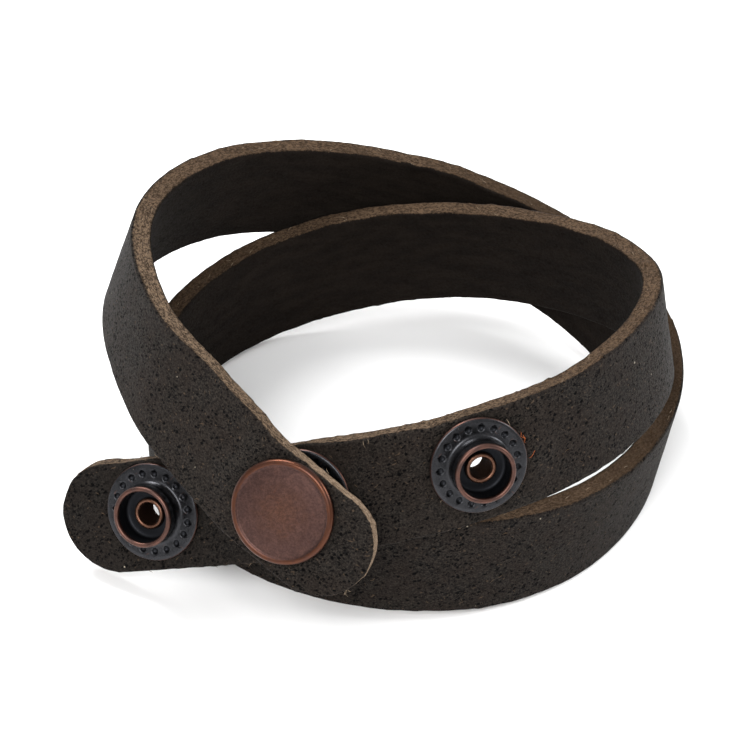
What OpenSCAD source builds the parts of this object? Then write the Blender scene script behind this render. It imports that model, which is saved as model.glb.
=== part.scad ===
// Leather wrap bracelet. One flat strap goes round the wrist twice and closes with a ring snap.
// Millimetres. X runs to the right, Y to the back and Z up. The origin lies on the surface the
// bracelet rests on, under the middle of its outline. The tab with the free stud is at the front left.

/* [Strap] */
// width of the strap
strap_w = 12.7; // [12.4:0.1:13]
// thickness of the leather
strap_t = 2.4; // [2.2:0.1:2.5]
// wear of the strap's long corners
edge_wear = 0.3; // [0.2:0.05:0.4]

/* [Loop] */
// width of the worn loop, measured on the strap's middle line
loop_w = 64; // [63:0.5:66]
// depth of the worn loop, measured on the strap's middle line
loop_d = 58; // [57:0.5:60]
// angle at which the closing end crosses the tab
cross_angle = 47; // [44:1:50]

/* [Snap places] */
// distance of the first stud from the tip of the tab, along the strap
stud_1_at = 11.5; // [11:0.1:12]
// distance of the closing stud from the tip of the tab, along the strap
stud_2_at = 30.1; // [29.6:0.1:30.6]
// distance of the third stud from the tip of the tab, along the strap
stud_3_at = 49.5; // [49:0.1:50.5]
// how far the snaps sit above the middle line of the strap
snap_shift = 0.45; // [0.2:0.05:0.6]

/* [Snap] */
// diameter of the cap
cap_d = 12; // [11.6:0.1:12.4]
// height of the cap's rim above the leather
cap_rim_h = 0.9; // [0.8:0.05:1.1]
// further rise of the cap's dome in the middle
cap_dome = 0.35; // [0.2:0.05:0.5]
// diameter of a stud's flange
flange_d = 11.2; // [10.8:0.1:11.5]
// thickness of a stud's flange
flange_t = 0.6; // [0.5:0.05:0.7]
// outside diameter of a stud's knob
knob_d = 7; // [6.8:0.05:7.1]
// height of a stud's knob above its flange
knob_h = 2.7; // [2.5:0.05:2.9]
// pits in the ring round each flange
pit_count = 19; // [15:1:20]
// diameter of the ring that the pits stand on
pit_ring_d = 8.9; // [8.7:0.05:9.3]
// free bore through an eyelet
bore_d = 2.5; // [2.3:0.05:2.6]
// diameter of an eyelet's flange at the back of the leather
back_d = 8; // [7.6:0.1:8.2]

/* [Hidden] */
$fa = 4;
$fs = 0.3;
gap = 0.05;
half_w = strap_w / 2;
half_t = strap_t / 2;

// wall of the metal parts and the room for a post in the leather
tube_wall = 0.35;
tube_r = bore_d / 2 + tube_wall;
hole_r = tube_r + gap;
plate_t = 0.3;
back_t = 0.35;
floor_h = 0.25;
roll_r = 0.27;
bead_r = 0.28;

// waist of a knob: how far it draws in, its foot, and the heights above the flange
neck_in = 0.3;
neck_foot = 0.5;
neck_low = 0.35;
neck_high = 0.9;
knob_wall_from = 1.35;

// pits: radius of the ball and height of its middle above the flange
pit_r = 0.42;
pit_lift = 0.2;

// cap: roll of the rim, drop of the crown inside it, and head of the post
rim_r = 0.45;
crown_drop = 0.12;
post_head_w = 0.5;
post_head_t = 0.3;

// socket: room round the knob, roll of its lip, and wall of the ring
knob_room = 0.1;
lip_r = 0.4;
lip_short = 0.7;
seat_out = 0.15;
seat_in = 0.12;
socket_d = flange_d - 0.8;

// how far the cutters of the seats stand off the leather, and on the bent closing end
clear_of = 0.5;
clear_of_bend = 1.2;

// from the leather under the stud to the leather under the cap
stack_h = flange_t + knob_h + plate_t + 2 * gap;

// Stations of the strap's middle line, from the tip of the tab to the closing end.
// Each row: across in shares of loop_w, back in shares of loop_d, up in shares of strap_w,
// and the lean in degrees, which is positive where the top edge tips inwards.
ROUTE = [
    [-0.790, -0.170, -0.04, 19],
    [-0.555, -0.265, 0.48, 17],
    [-0.320, -0.340, 0.94, 33],
    [-0.080, -0.425, 1.50, 25],
    [0.110, -0.410, 1.74, 22],
    [0.310, -0.310, 1.84, 17],
    [0.430, -0.165, 1.84, 16],
    [0.515, 0.080, 1.70, 9],
    [0.390, 0.300, 1.38, 2],
    [0.170, 0.455, 1.04, 4],
    [-0.075, 0.480, 0.76, -9],
    [-0.285, 0.370, 0.60, -8],
    [-0.410, 0.185, 0.56, -2],
    [-0.415, -0.045, 0.56, -5],
    [-0.305, -0.250, 0.60, -1],
    [-0.115, -0.385, 0.66, 7],
    [0.115, -0.415, 0.64, 4],
    [0.325, -0.330, 0.60, -3],
    [0.475, -0.120, 0.56, -10],
    [0.520, 0.125, 0.56, -9],
    [0.460, 0.320, 0.62, -14],
    [0.330, 0.470, 0.78, -9],
    [0.160, 0.550, 1.00, -1],
    [0.000, 0.565, 1.20, -2],
    [-0.285, 0.510, 1.58, 7],
    [-0.510, 0.205, 1.92, 16],
    [-0.420, -0.170, 1.92, 14]
];

// The closing end, laid on the snap. Each row: along the end and outwards, in shares of strap_w.
CLOSING = [
    [-1.37, -0.42],
    [-0.245, 0.10],
    [0.88, -0.11],
    [2.00, 0.00]
];

UP = [0, 0, 1];

function unit(v) = v / norm(v);

// place on the smooth line that the rows of c guide, and its direction there
function line_at(c, u) =
    let(i = min(floor(u), len(c) - 4), t = u - i)
    (pow(1 - t, 3) * c[i] + (3 * pow(t, 3) - 6 * t * t + 4) * c[i + 1]
    + (-3 * pow(t, 3) + 3 * t * t + 3 * t + 1) * c[i + 2] + pow(t, 3) * c[i + 3]) / 6;
function way_at(c, u) =
    let(i = min(floor(u), len(c) - 4), t = u - i)
    (-pow(1 - t, 2) * c[i] + (3 * t * t - 4 * t) * c[i + 1]
    + (-3 * t * t + 2 * t + 1) * c[i + 2] + t * t * c[i + 3]) / 2;
function place(row) = [row[0], row[1], row[2]];

// upright direction across a strap that runs along t, and the face direction that goes with it
function upright(t) = unit(UP - t[2] * t);

// frame of the strap: [place, along, across, out of the finished face]
function strap_frame(c, u) =
    let(
        row = line_at(c, u),
        t = unit(place(way_at(c, u))),
        b = upright(t),
        n = cross(t, b),
        lean = row[3]
    )
    [place(row), t, cos(lean) * b - sin(lean) * n, cos(lean) * n + sin(lean) * b];
function raised(f, side, out) = [f[0] + side * f[2] + out * f[3], f[1], f[2], f[3]];

// lengths along a line, and the station that lies a given length from its start
function lengths(c, last, steps) =
    let(pts = [for (i = [0:steps]) place(line_at(c, last * i / steps))])
    [for (i = 0, s = 0; i <= steps; s = s + (i < steps ? norm(pts[i + 1] - pts[i]) : 0), i = i + 1)
        [s, last * i / steps]];

// first lap and most of the second
HEAD = [for (r = ROUTE) [r[0] * loop_w, r[1] * loop_d, r[2] * strap_w, r[3]]];
HEAD_LENGTHS = lengths(HEAD, 6, 240);
CLOSE_FRAME = raised(strap_frame(HEAD, lookup(stud_2_at, HEAD_LENGTHS)), snap_shift, 0);

// the closing end starts from the frame of the stud that it closes on
end_along = cos(cross_angle) * CLOSE_FRAME[1] - sin(cross_angle) * CLOSE_FRAME[2];
end_across = cross(CLOSE_FRAME[3], end_along);
end_mid = CLOSE_FRAME[0] + (strap_t + stack_h) * CLOSE_FRAME[3] - snap_shift * end_across;
END_PLACES = [for (r = CLOSING) end_mid + r[0] * strap_w * end_along + r[1] * strap_w * CLOSE_FRAME[3]];
function end_way(k) =
    unit((k < 3 ? END_PLACES[k + 1] : 2 * END_PLACES[3] - END_PLACES[2])
        - (k > 0 ? END_PLACES[k - 1] : place(HEAD[len(HEAD) - 1])));
function end_lean(k) =
    let(b = upright(end_way(k)), n = cross(end_way(k), b))
    atan2(-end_across * n, end_across * b);
TAIL = [for (k = [0:3]) [END_PLACES[k][0], END_PLACES[k][1], END_PLACES[k][2], end_lean(k)]];
LINE = concat(HEAD, TAIL);
last_u = len(LINE) - 3;
ALL_LENGTHS = lengths(LINE, last_u, 1120);
strap_l = ALL_LENGTHS[len(ALL_LENGTHS) - 1][0];

// rings of the strap: closer together where the ends are rounded
END_RINGS = 8;
MID_RINGS = 150;
function end_turn(i) = 8 + 82 * i / (END_RINGS - 1);
RING_AT = concat(
    [for (i = [0:END_RINGS - 1]) half_w * (1 - cos(end_turn(i)))],
    [for (i = [1:MID_RINGS - 1]) half_w + (strap_l - strap_w) * i / MID_RINGS],
    [for (i = [END_RINGS - 1:-1:0]) strap_l - half_w * (1 - cos(end_turn(i)))]
);
function half_width(s) =
    let(d = min(s, strap_l - s))
    d < half_w ? sqrt(half_w * half_w - pow(half_w - d, 2)) : half_w;
function ring(s) =
    let(
        f = strap_frame(LINE, lookup(s, ALL_LENGTHS)),
        w = half_width(s),
        e = edge_wear,
        corners = [
            [w - e, half_t], [w, half_t - e], [w, e - half_t], [w - e, -half_t],
            [e - w, -half_t], [-w, e - half_t], [-w, half_t - e], [e - w, half_t]
        ]
    )
    [for (q = corners) f[0] + q[0] * f[2] + q[1] * f[3]];
RINGS = [for (s = RING_AT) ring(s)];
STRAP_POINTS = [for (r = RINGS) for (q = r) q];
low = [for (k = [0:2]) min([for (q = STRAP_POINTS) q[k]])];
high = [for (k = [0:2]) max([for (q = STRAP_POINTS) q[k]])];
HOME = [-(low[0] + high[0]) / 2, -(low[1] + high[1]) / 2, -low[2]];

// frames of the three studs and of the closing end's leather
function stud_frame(at) = raised(strap_frame(LINE, lookup(at, ALL_LENGTHS)), snap_shift, 0);
FRAME_1 = stud_frame(stud_1_at);
FRAME_2 = CLOSE_FRAME;
FRAME_3 = stud_frame(stud_3_at);
END_FRAME = raised(FRAME_2, 0, strap_t + stack_h);

module at_frame(f) {
    multmatrix([
        [f[1][0], f[2][0], f[3][0], f[0][0]],
        [f[1][1], f[2][1], f[3][1], f[0][1]],
        [f[1][2], f[2][2], f[3][2], f[0][2]],
        [0, 0, 0, 1]
    ])
        children();
}

module strap_body() {
    n = len(RINGS);
    sides = [
        for (i = [0:n - 2])
        for (k = [0:7])
        for (tri = [
            [i * 8 + k, i * 8 + (k + 1) % 8, (i + 1) * 8 + (k + 1) % 8],
            [i * 8 + k, (i + 1) * 8 + (k + 1) % 8, (i + 1) * 8 + k]
        ])
        tri
    ];
    tip = [for (k = [7:-1:0]) k];
    end = [for (k = [0:7]) (n - 1) * 8 + k];
    polyhedron(points = STRAP_POINTS, faces = concat(sides, [tip, end]));
}

// round hole through the leather, with the seats that the metal presses into both faces
module punched(out_d, in_d, reach) {
    cylinder(h = strap_t + 2 * reach, r = hole_r, center = true);
    translate([0, 0, half_t - seat_out])
        cylinder(h = seat_out + reach, r = out_d / 2 + gap);
    translate([0, 0, -half_t - reach])
        cylinder(h = seat_in + reach, r = in_d / 2 + gap);
}

module strap() {
    color([0.17, 0.14, 0.12])
        translate(HOME)
        difference() {
            strap_body();
            for (f = [FRAME_1, FRAME_2, FRAME_3])
                at_frame(f)
                punched(flange_d, back_d, clear_of);
            at_frame(END_FRAME)
                punched(cap_d, socket_d, clear_of_bend);
        }
}

// turned shape of a stud, standing on the leather's face
module stud_profile() {
    flange_r = flange_d / 2;
    knob_r = knob_d / 2;
    top = flange_t + knob_h;
    inner_r = knob_r - 2 * bead_r;
    difference() {
        union() {
            translate([hole_r, 0])
                square([flange_r - hole_r - flange_t / 2, flange_t]);
            translate([flange_r - flange_t / 2, flange_t / 2])
                circle(d = flange_t);
            translate([hole_r, 0])
                square([inner_r - hole_r + gap, flange_t + floor_h]);
            polygon([
                [inner_r, 0],
                [knob_r - neck_in + neck_foot, 0],
                [knob_r - neck_in + neck_foot, flange_t],
                [knob_r - neck_in, flange_t + neck_low],
                [knob_r - neck_in, flange_t + neck_high],
                [knob_r, flange_t + knob_wall_from],
                [knob_r, top - bead_r],
                [inner_r, top - bead_r]
            ]);
            translate([knob_r - bead_r, top - bead_r])
                circle(r = bead_r);
        }
        translate([0, -gap])
            square([hole_r, top + 2 * gap]);
    }
}

module stud(f) {
    translate(HOME)
        at_frame(f)
        translate([0, 0, half_t - seat_out + gap])
        difference() {
            rotate_extrude()
                stud_profile();
            for (i = [0:pit_count - 1])
                rotate([0, 0, i * 360 / pit_count])
                translate([pit_ring_d / 2, 0, flange_t + pit_lift])
                sphere(r = pit_r);
        }
}

// turned shape of an eyelet, from its back flange to the roll inside the knob
module eyelet_profile() {
    back = -half_t + seat_in - gap;
    seat = half_t - seat_out + gap + flange_t + floor_h + gap;
    r = bore_d / 2;
    translate([r, back - back_t])
        square([back_d / 2 - r - back_t / 2, back_t]);
    translate([back_d / 2 - back_t / 2, back - back_t / 2])
        circle(d = back_t);
    translate([r, back - back_t])
        square([tube_wall, seat + roll_r - back + back_t]);
    translate([r + roll_r, seat + roll_r])
        circle(r = roll_r);
}

module eyelet(f) {
    translate(HOME)
        at_frame(f)
        rotate_extrude()
        eyelet_profile();
}

module stud_1() {
    color([0.33, 0.34, 0.37])
        stud(FRAME_1);
}

module stud_2() {
    color([0.33, 0.34, 0.37])
        stud(FRAME_2);
}

module stud_3() {
    color([0.33, 0.34, 0.37])
        stud(FRAME_3);
}

module eyelet_1() {
    color([0.55, 0.36, 0.27])
        eyelet(FRAME_1);
}

module eyelet_2() {
    color([0.55, 0.36, 0.27])
        eyelet(FRAME_2);
}

module eyelet_3() {
    color([0.55, 0.36, 0.27])
        eyelet(FRAME_3);
}

// socket that grips the knob: plate against the closing end and a ring round the knob
module socket_profile() {
    ring_r = knob_d / 2 + knob_room;
    outer_r = socket_d / 2;
    plate_top = -half_t + seat_in - gap;
    ring_h = knob_h - lip_short;
    translate([tube_r + gap, plate_top - plate_t])
        square([outer_r - tube_r - gap, plate_t]);
    translate([ring_r, plate_top - plate_t - ring_h])
        square([outer_r - ring_r - lip_r, ring_h + gap]);
    translate([outer_r - 2 * lip_r, plate_top - plate_t - ring_h + lip_r])
        circle(r = lip_r);
}

module snap_socket() {
    color([0.33, 0.34, 0.37])
        translate(HOME)
        at_frame(END_FRAME)
        rotate_extrude()
        socket_profile();
}

// turned shape of the cap with its post, which is upset inside the hollow knob
module cap_profile() {
    cap_r = cap_d / 2;
    base = half_t - seat_out + gap;
    top = half_t + cap_rim_h;
    crown = top - crown_drop;
    upset = -half_t + seat_in - 2 * gap - plate_t;
    polygon([
        [0, base],
        [cap_r - rim_r, base],
        [cap_r - rim_r, crown],
        [0.85 * cap_r, crown + 0.1 * cap_dome],
        [0.65 * cap_r, crown + 0.55 * cap_dome],
        [0.4 * cap_r, crown + 0.85 * cap_dome],
        [0.15 * cap_r, crown + cap_dome],
        [0, crown + cap_dome]
    ]);
    translate([cap_r - rim_r, top - rim_r])
        circle(r = rim_r);
    translate([cap_r - 2 * rim_r, base])
        square([2 * rim_r - gap, top - rim_r - base]);
    translate([0, upset - post_head_t])
        square([tube_r, base - upset + post_head_t + gap]);
    translate([0, upset - post_head_t])
        square([tube_r + post_head_w, post_head_t]);
}

module snap_cap() {
    color([0.60, 0.40, 0.32])
        translate(HOME)
        at_frame(END_FRAME)
        rotate_extrude()
        cap_profile();
}

strap();
snap_cap();
snap_socket();
stud_1();
stud_2();
stud_3();
eyelet_1();
eyelet_2();
eyelet_3();
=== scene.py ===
"""Leather wrap bracelet: the finished strap and snap parts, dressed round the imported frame."""
import logging
import math
from dataclasses import dataclass
from enum import Enum

import bmesh
import bpy
import numpy as np
from mathutils import Matrix, Vector, noise


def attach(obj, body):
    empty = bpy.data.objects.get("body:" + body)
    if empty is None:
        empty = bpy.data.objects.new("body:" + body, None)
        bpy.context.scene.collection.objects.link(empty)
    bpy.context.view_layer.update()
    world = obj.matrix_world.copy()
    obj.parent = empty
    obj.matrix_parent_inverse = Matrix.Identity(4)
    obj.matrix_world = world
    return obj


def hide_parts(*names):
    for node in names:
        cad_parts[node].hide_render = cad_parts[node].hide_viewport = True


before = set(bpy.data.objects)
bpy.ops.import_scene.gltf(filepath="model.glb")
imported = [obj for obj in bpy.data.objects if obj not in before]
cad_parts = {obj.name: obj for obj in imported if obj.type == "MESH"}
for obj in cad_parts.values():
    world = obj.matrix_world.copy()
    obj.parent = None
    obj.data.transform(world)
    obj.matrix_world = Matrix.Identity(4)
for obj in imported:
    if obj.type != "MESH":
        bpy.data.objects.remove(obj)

MM = 0.001
# Distance in millimetres within which points are one, and length that counts as none.
SAME_POINT = 1e-5
TINY = 1e-6
LOG = logging.getLogger("bracelet")
Outline = list[tuple[float, float]]
Triple = tuple[float, float, float]
Colour = tuple[float, float, float, float]
Span = tuple[float, float]
Link = bpy.types.NodeSocket
# What a socket takes: another socket, or its own number, place or colour.
Fed = Link | float | Triple | Colour


@dataclass(frozen=True)
class StrapSizes:
    """Sizes of the leather, in millimetres and degrees, as the part's source has them."""

    width: float = 12.7
    thickness: float = 2.4
    edge_wear: float = 0.3
    loop_w: float = 64.0
    loop_d: float = 58.0
    cross_angle: float = 47.0
    stud_1_at: float = 11.5
    stud_2_at: float = 30.1
    stud_3_at: float = 49.5
    snap_shift: float = 0.45


@dataclass(frozen=True)
class SnapSizes:
    """Sizes of the ring snap, in millimetres, as the part's source has them."""

    cap_d: float = 12.0
    cap_rim_h: float = 0.9
    cap_dome: float = 0.35
    flange_d: float = 11.2
    flange_t: float = 0.6
    knob_d: float = 7.0
    knob_h: float = 2.7
    pit_count: int = 19
    pit_ring_d: float = 8.9
    pit_r: float = 0.42
    pit_lift: float = 0.12
    bore_d: float = 2.5
    back_d: float = 8.0
    gap: float = 0.05
    tube_wall: float = 0.35
    plate_t: float = 0.3
    back_t: float = 0.35
    floor_h: float = 0.25
    roll_r: float = 0.27
    bead_r: float = 0.28
    neck_in: float = 0.3
    seat_out: float = 0.15
    seat_in: float = 0.12
    socket_in: float = 0.4

    @property
    def tube_r(self) -> float:
        """Outside radius of the rivet tubes."""
        return self.bore_d / 2 + self.tube_wall

    @property
    def socket_r(self) -> float:
        """Outside radius of the socket."""
        return self.flange_d / 2 - self.socket_in

    @property
    def stack_h(self) -> float:
        """Height from the leather under the stud to the leather under the cap."""
        return self.flange_t + self.knob_h + self.plate_t + 2 * self.gap


# Stations of the strap's middle line, from the tip of the tab to the closing end: across in shares
# of the loop's width, back in shares of its depth, up in shares of the strap's width, lean in degrees.
STATIONS = (
    (-0.790, -0.170, -0.04, 19),
    (-0.555, -0.265, 0.48, 17),
    (-0.320, -0.340, 0.94, 33),
    (-0.080, -0.425, 1.50, 25),
    (0.110, -0.410, 1.74, 22),
    (0.310, -0.310, 1.84, 17),
    (0.430, -0.165, 1.84, 16),
    (0.515, 0.080, 1.70, 9),
    (0.390, 0.300, 1.38, 2),
    (0.170, 0.455, 1.04, 4),
    (-0.075, 0.480, 0.76, -9),
    (-0.285, 0.370, 0.60, -8),
    (-0.410, 0.185, 0.56, -2),
    (-0.415, -0.045, 0.56, -5),
    (-0.305, -0.250, 0.60, -1),
    (-0.115, -0.385, 0.66, 7),
    (0.115, -0.415, 0.64, 4),
    (0.325, -0.330, 0.60, -3),
    (0.475, -0.120, 0.56, -10),
    (0.520, 0.125, 0.56, -9),
    (0.460, 0.320, 0.62, -14),
    (0.330, 0.470, 0.78, -9),
    (0.160, 0.550, 1.00, -1),
    (0.000, 0.565, 1.20, -2),
    (-0.285, 0.510, 1.58, 7),
    (-0.510, 0.205, 1.92, 16),
    (-0.420, -0.170, 1.92, 14),
)
# The closing end, laid on the snap: along the end and outwards, in shares of the strap's width.
CLOSING = ((-1.37, -0.42), (-0.245, 0.10), (0.88, -0.11), (2.00, 0.00))


@dataclass(frozen=True)
class Place:
    """A frame on the strap: a point, and the directions along, across and out of the finished face."""

    point: np.ndarray
    along: np.ndarray
    across: np.ndarray
    out: np.ndarray

    def raised(self, side: float, out: float) -> "Place":
        """The same frame, moved across the strap and out of its face."""
        return Place(self.point + side * self.across + out * self.out, self.along, self.across, self.out)

    def matrix(self) -> Matrix:
        """Matrix in metres that takes a turned piece, made in millimetres, to this frame."""
        columns = MM * np.stack([self.along, self.across, self.out, self.point], axis=1)
        return Matrix([*columns.tolist(), [0.0, 0.0, 0.0, 1.0]])


def unit(vectors: np.ndarray) -> np.ndarray:
    """Each vector at length 1."""
    return vectors / np.linalg.norm(vectors, axis=-1, keepdims=True)


def smooth_step(values: np.ndarray) -> np.ndarray:
    """Eases values from 0 to 1, flat outside that range."""
    eased = np.clip(values, 0.0, 1.0)
    return eased * eased * (3 - 2 * eased)


class Route:
    """The strap's middle line: a smooth line guided by the stations, with a lean at each place."""

    STEPS = 1120
    # The first stations, which hold the stud that the strap closes on, and their steps.
    FIRST_STATIONS = 6.0
    FIRST_STEPS = 240
    # Length of the closing end in which the cap's place is looked for, and its steps.
    LAST_LENGTH = 25.0
    LAST_STEPS = 500
    # What is left out at each end when the corners are measured, and the steps between.
    END_TRIM = 0.05
    CORNER_STEPS = 4000

    def __init__(self, strap: StrapSizes, snap: SnapSizes) -> None:
        """Works out the line, its lengths and the frames of the snaps.

        Args:
            strap: sizes of the leather.
            snap: sizes of the ring snap.
        """
        self.strap = strap
        self.snap = snap
        self.rows = np.array(STATIONS) * (strap.loop_w, strap.loop_d, strap.width, 1.0)
        steps = np.linspace(0.0, self.FIRST_STATIONS, self.FIRST_STEPS + 1)
        close = self.at_stations(np.interp([strap.stud_2_at], self.lengths(steps), steps))
        stud_2 = Place(*(part[0] for part in close)).raised(strap.snap_shift, 0.0)
        self.rows = np.vstack([self.rows, self.closing_rows(stud_2)])
        self.steps = np.linspace(0.0, len(self.rows) - 3.0, self.STEPS + 1)
        self.run = self.lengths(self.steps)
        self.length = float(self.run[-1])
        self.home = np.zeros(3)
        self.home = self.find_home()
        lift = strap.thickness + snap.stack_h
        moved = Place(stud_2.point + self.home, stud_2.along, stud_2.across, stud_2.out)
        self.studs = (self.stud_place(strap.stud_1_at), moved, self.stud_place(strap.stud_3_at))
        self.end = moved.raised(0.0, lift)
        self.end_at = self.nearest(self.end.point)

    def at_stations(self, u: np.ndarray) -> tuple[np.ndarray, np.ndarray, np.ndarray, np.ndarray]:
        """Points and directions of the line.

        Args:
            u: places, counted in stations.

        Returns:
            Points, directions along, directions across, and directions out of the finished face.
        """
        first = np.clip(np.floor(u).astype(int), 0, len(self.rows) - 4)
        t = (u - first)[:, None]
        near = (
            (1 - t) ** 3 / 6,
            (3 * t**3 - 6 * t**2 + 4) / 6,
            (-3 * t**3 + 3 * t**2 + 3 * t + 1) / 6,
            t**3 / 6,
        )
        slope = (-((1 - t) ** 2) / 2, (3 * t**2 - 4 * t) / 2, (-3 * t**2 + 2 * t + 1) / 2, t**2 / 2)
        rows = sum(near[k] * self.rows[first + k] for k in range(4))
        along = unit(sum(slope[k] * self.rows[first + k] for k in range(4))[:, :3])
        lean = np.radians(rows[:, 3:4])
        high, face = self.upright(along)
        across = np.cos(lean) * high - np.sin(lean) * face
        out = np.cos(lean) * face + np.sin(lean) * high
        return rows[:, :3], along, across, out

    @staticmethod
    def upright(along: np.ndarray) -> tuple[np.ndarray, np.ndarray]:
        """Directions up across the strap and out of its face where it doesn't lean."""
        high = unit(np.array([0.0, 0.0, 1.0]) - along * along[..., 2:3])
        return high, np.cross(along, high)

    def lengths(self, u: np.ndarray) -> np.ndarray:
        """Length of the line from its start to each place, for places in rising order from 0."""
        points = self.at_stations(u)[0]
        return np.concatenate([[0.0], np.cumsum(np.linalg.norm(np.diff(points, axis=0), axis=1))])

    def closing_rows(self, stud: Place) -> np.ndarray:
        """Rows of the closing end, which lies across the stud that it closes on.

        Args:
            stud: frame of the closing stud.

        Returns:
            Four rows that follow the stations.
        """
        turn = math.radians(self.strap.cross_angle)
        along = math.cos(turn) * stud.along - math.sin(turn) * stud.across
        across = np.cross(stud.out, along)
        lift = self.strap.thickness + self.snap.stack_h
        middle = stud.point + lift * stud.out - self.strap.snap_shift * across
        places = [middle + self.strap.width * (run * along + out * stud.out) for run, out in CLOSING]
        chain = [self.rows[-1][:3], *places, 2 * places[3] - places[2]]
        rows = []
        for k, place in enumerate(places):
            way = unit(chain[k + 2] - chain[k])
            high, face = self.upright(way)
            lean = math.degrees(math.atan2(-float(across @ face), float(across @ high)))
            rows.append([*place, lean])
        return np.array(rows)

    def at_length(self, s: np.ndarray) -> tuple[np.ndarray, np.ndarray, np.ndarray, np.ndarray]:
        """Points and directions at lengths along the strap, moved to where the bracelet rests."""
        points, along, across, out = self.at_stations(np.interp(s, self.run, self.steps))
        return points + self.home, along, across, out

    def stud_place(self, at: float) -> Place:
        """Frame of a snap at a length along the strap."""
        middle = Place(*(part[0] for part in self.at_length(np.array([at]))))
        return middle.raised(self.strap.snap_shift, 0.0)

    def nearest(self, point: np.ndarray) -> float:
        """Length along the closing end at which the line passes a point."""
        s = np.linspace(self.length - self.LAST_LENGTH, self.length, self.LAST_STEPS + 1)
        return float(s[np.argmin(np.linalg.norm(self.at_length(s)[0] - point, axis=1))])

    def find_home(self) -> np.ndarray:
        """Finds where the bracelet rests.

        Returns:
            Shift that puts the strap's lowest corner on the ground and its outline round the origin.
        """
        half_w = self.strap.width / 2
        half_t = self.strap.thickness / 2
        wear = self.strap.edge_wear
        s = np.linspace(self.END_TRIM, self.length - self.END_TRIM, self.CORNER_STEPS + 1)
        points, _, across, out = self.at_length(s)
        end = np.minimum(s, self.length - s)
        inside = np.clip(half_w - end, 0.0, half_w)
        half = np.sqrt(half_w**2 - inside**2)[:, None]
        corners = []
        for side in (-1, 1):
            for face in (-1, 1):
                corners.append(points + side * (half - wear) * across + face * half_t * out)
                corners.append(points + side * half * across + face * (half_t - wear) * out)
        cloud = np.concatenate(corners)
        low, high = cloud.min(axis=0), cloud.max(axis=0)
        return -np.array([(low[0] + high[0]) / 2, (low[1] + high[1]) / 2, low[2]])

    def bend(self, flat: np.ndarray) -> np.ndarray:
        """Takes points of the strap laid flat to the worn strap.

        Args:
            flat: rows of length along, distance across and height from the middle of the leather.

        Returns:
            The same points on the worn strap, in millimetres.
        """
        points, along, across, out = self.at_length(np.clip(flat[:, 0], 0.0, self.length))
        over = flat[:, 0:1] - np.clip(flat[:, 0:1], 0.0, self.length)
        return points + over * along + flat[:, 1:2] * across + flat[:, 2:3] * out


class Slot(Enum):
    """Material slots of the record."""

    LEATHER = "leather"
    COPPER = "antique_copper"
    GUNMETAL = "gunmetal"
    EYELET = "eyelet_copper"


@dataclass(frozen=True)
class Grain:
    """A noise over a surface: its paces along each axis, its detail and its roughness."""

    paces: Triple
    detail: float = 3.0
    roughness: float = 0.5


@dataclass(frozen=True)
class Layer(Grain):
    """A noise eased to a mask: the values between which it rises, and the mask's least and most."""

    low: float = 0.0
    high: float = 1.0
    least: float = 0.0
    most: float = 1.0


@dataclass(frozen=True)
class Marks:
    """Scattered round marks: their paces along each axis, how many, how wide and how strong they are."""

    paces: Triple
    amount: float
    size: float
    strength: float = 1.0


@dataclass(frozen=True)
class Zone:
    """A stretch between two values, with the ease at each end and the strength inside."""

    low: float
    high: float
    ease_low: float
    ease_high: float
    strength: float = 1.0


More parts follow.
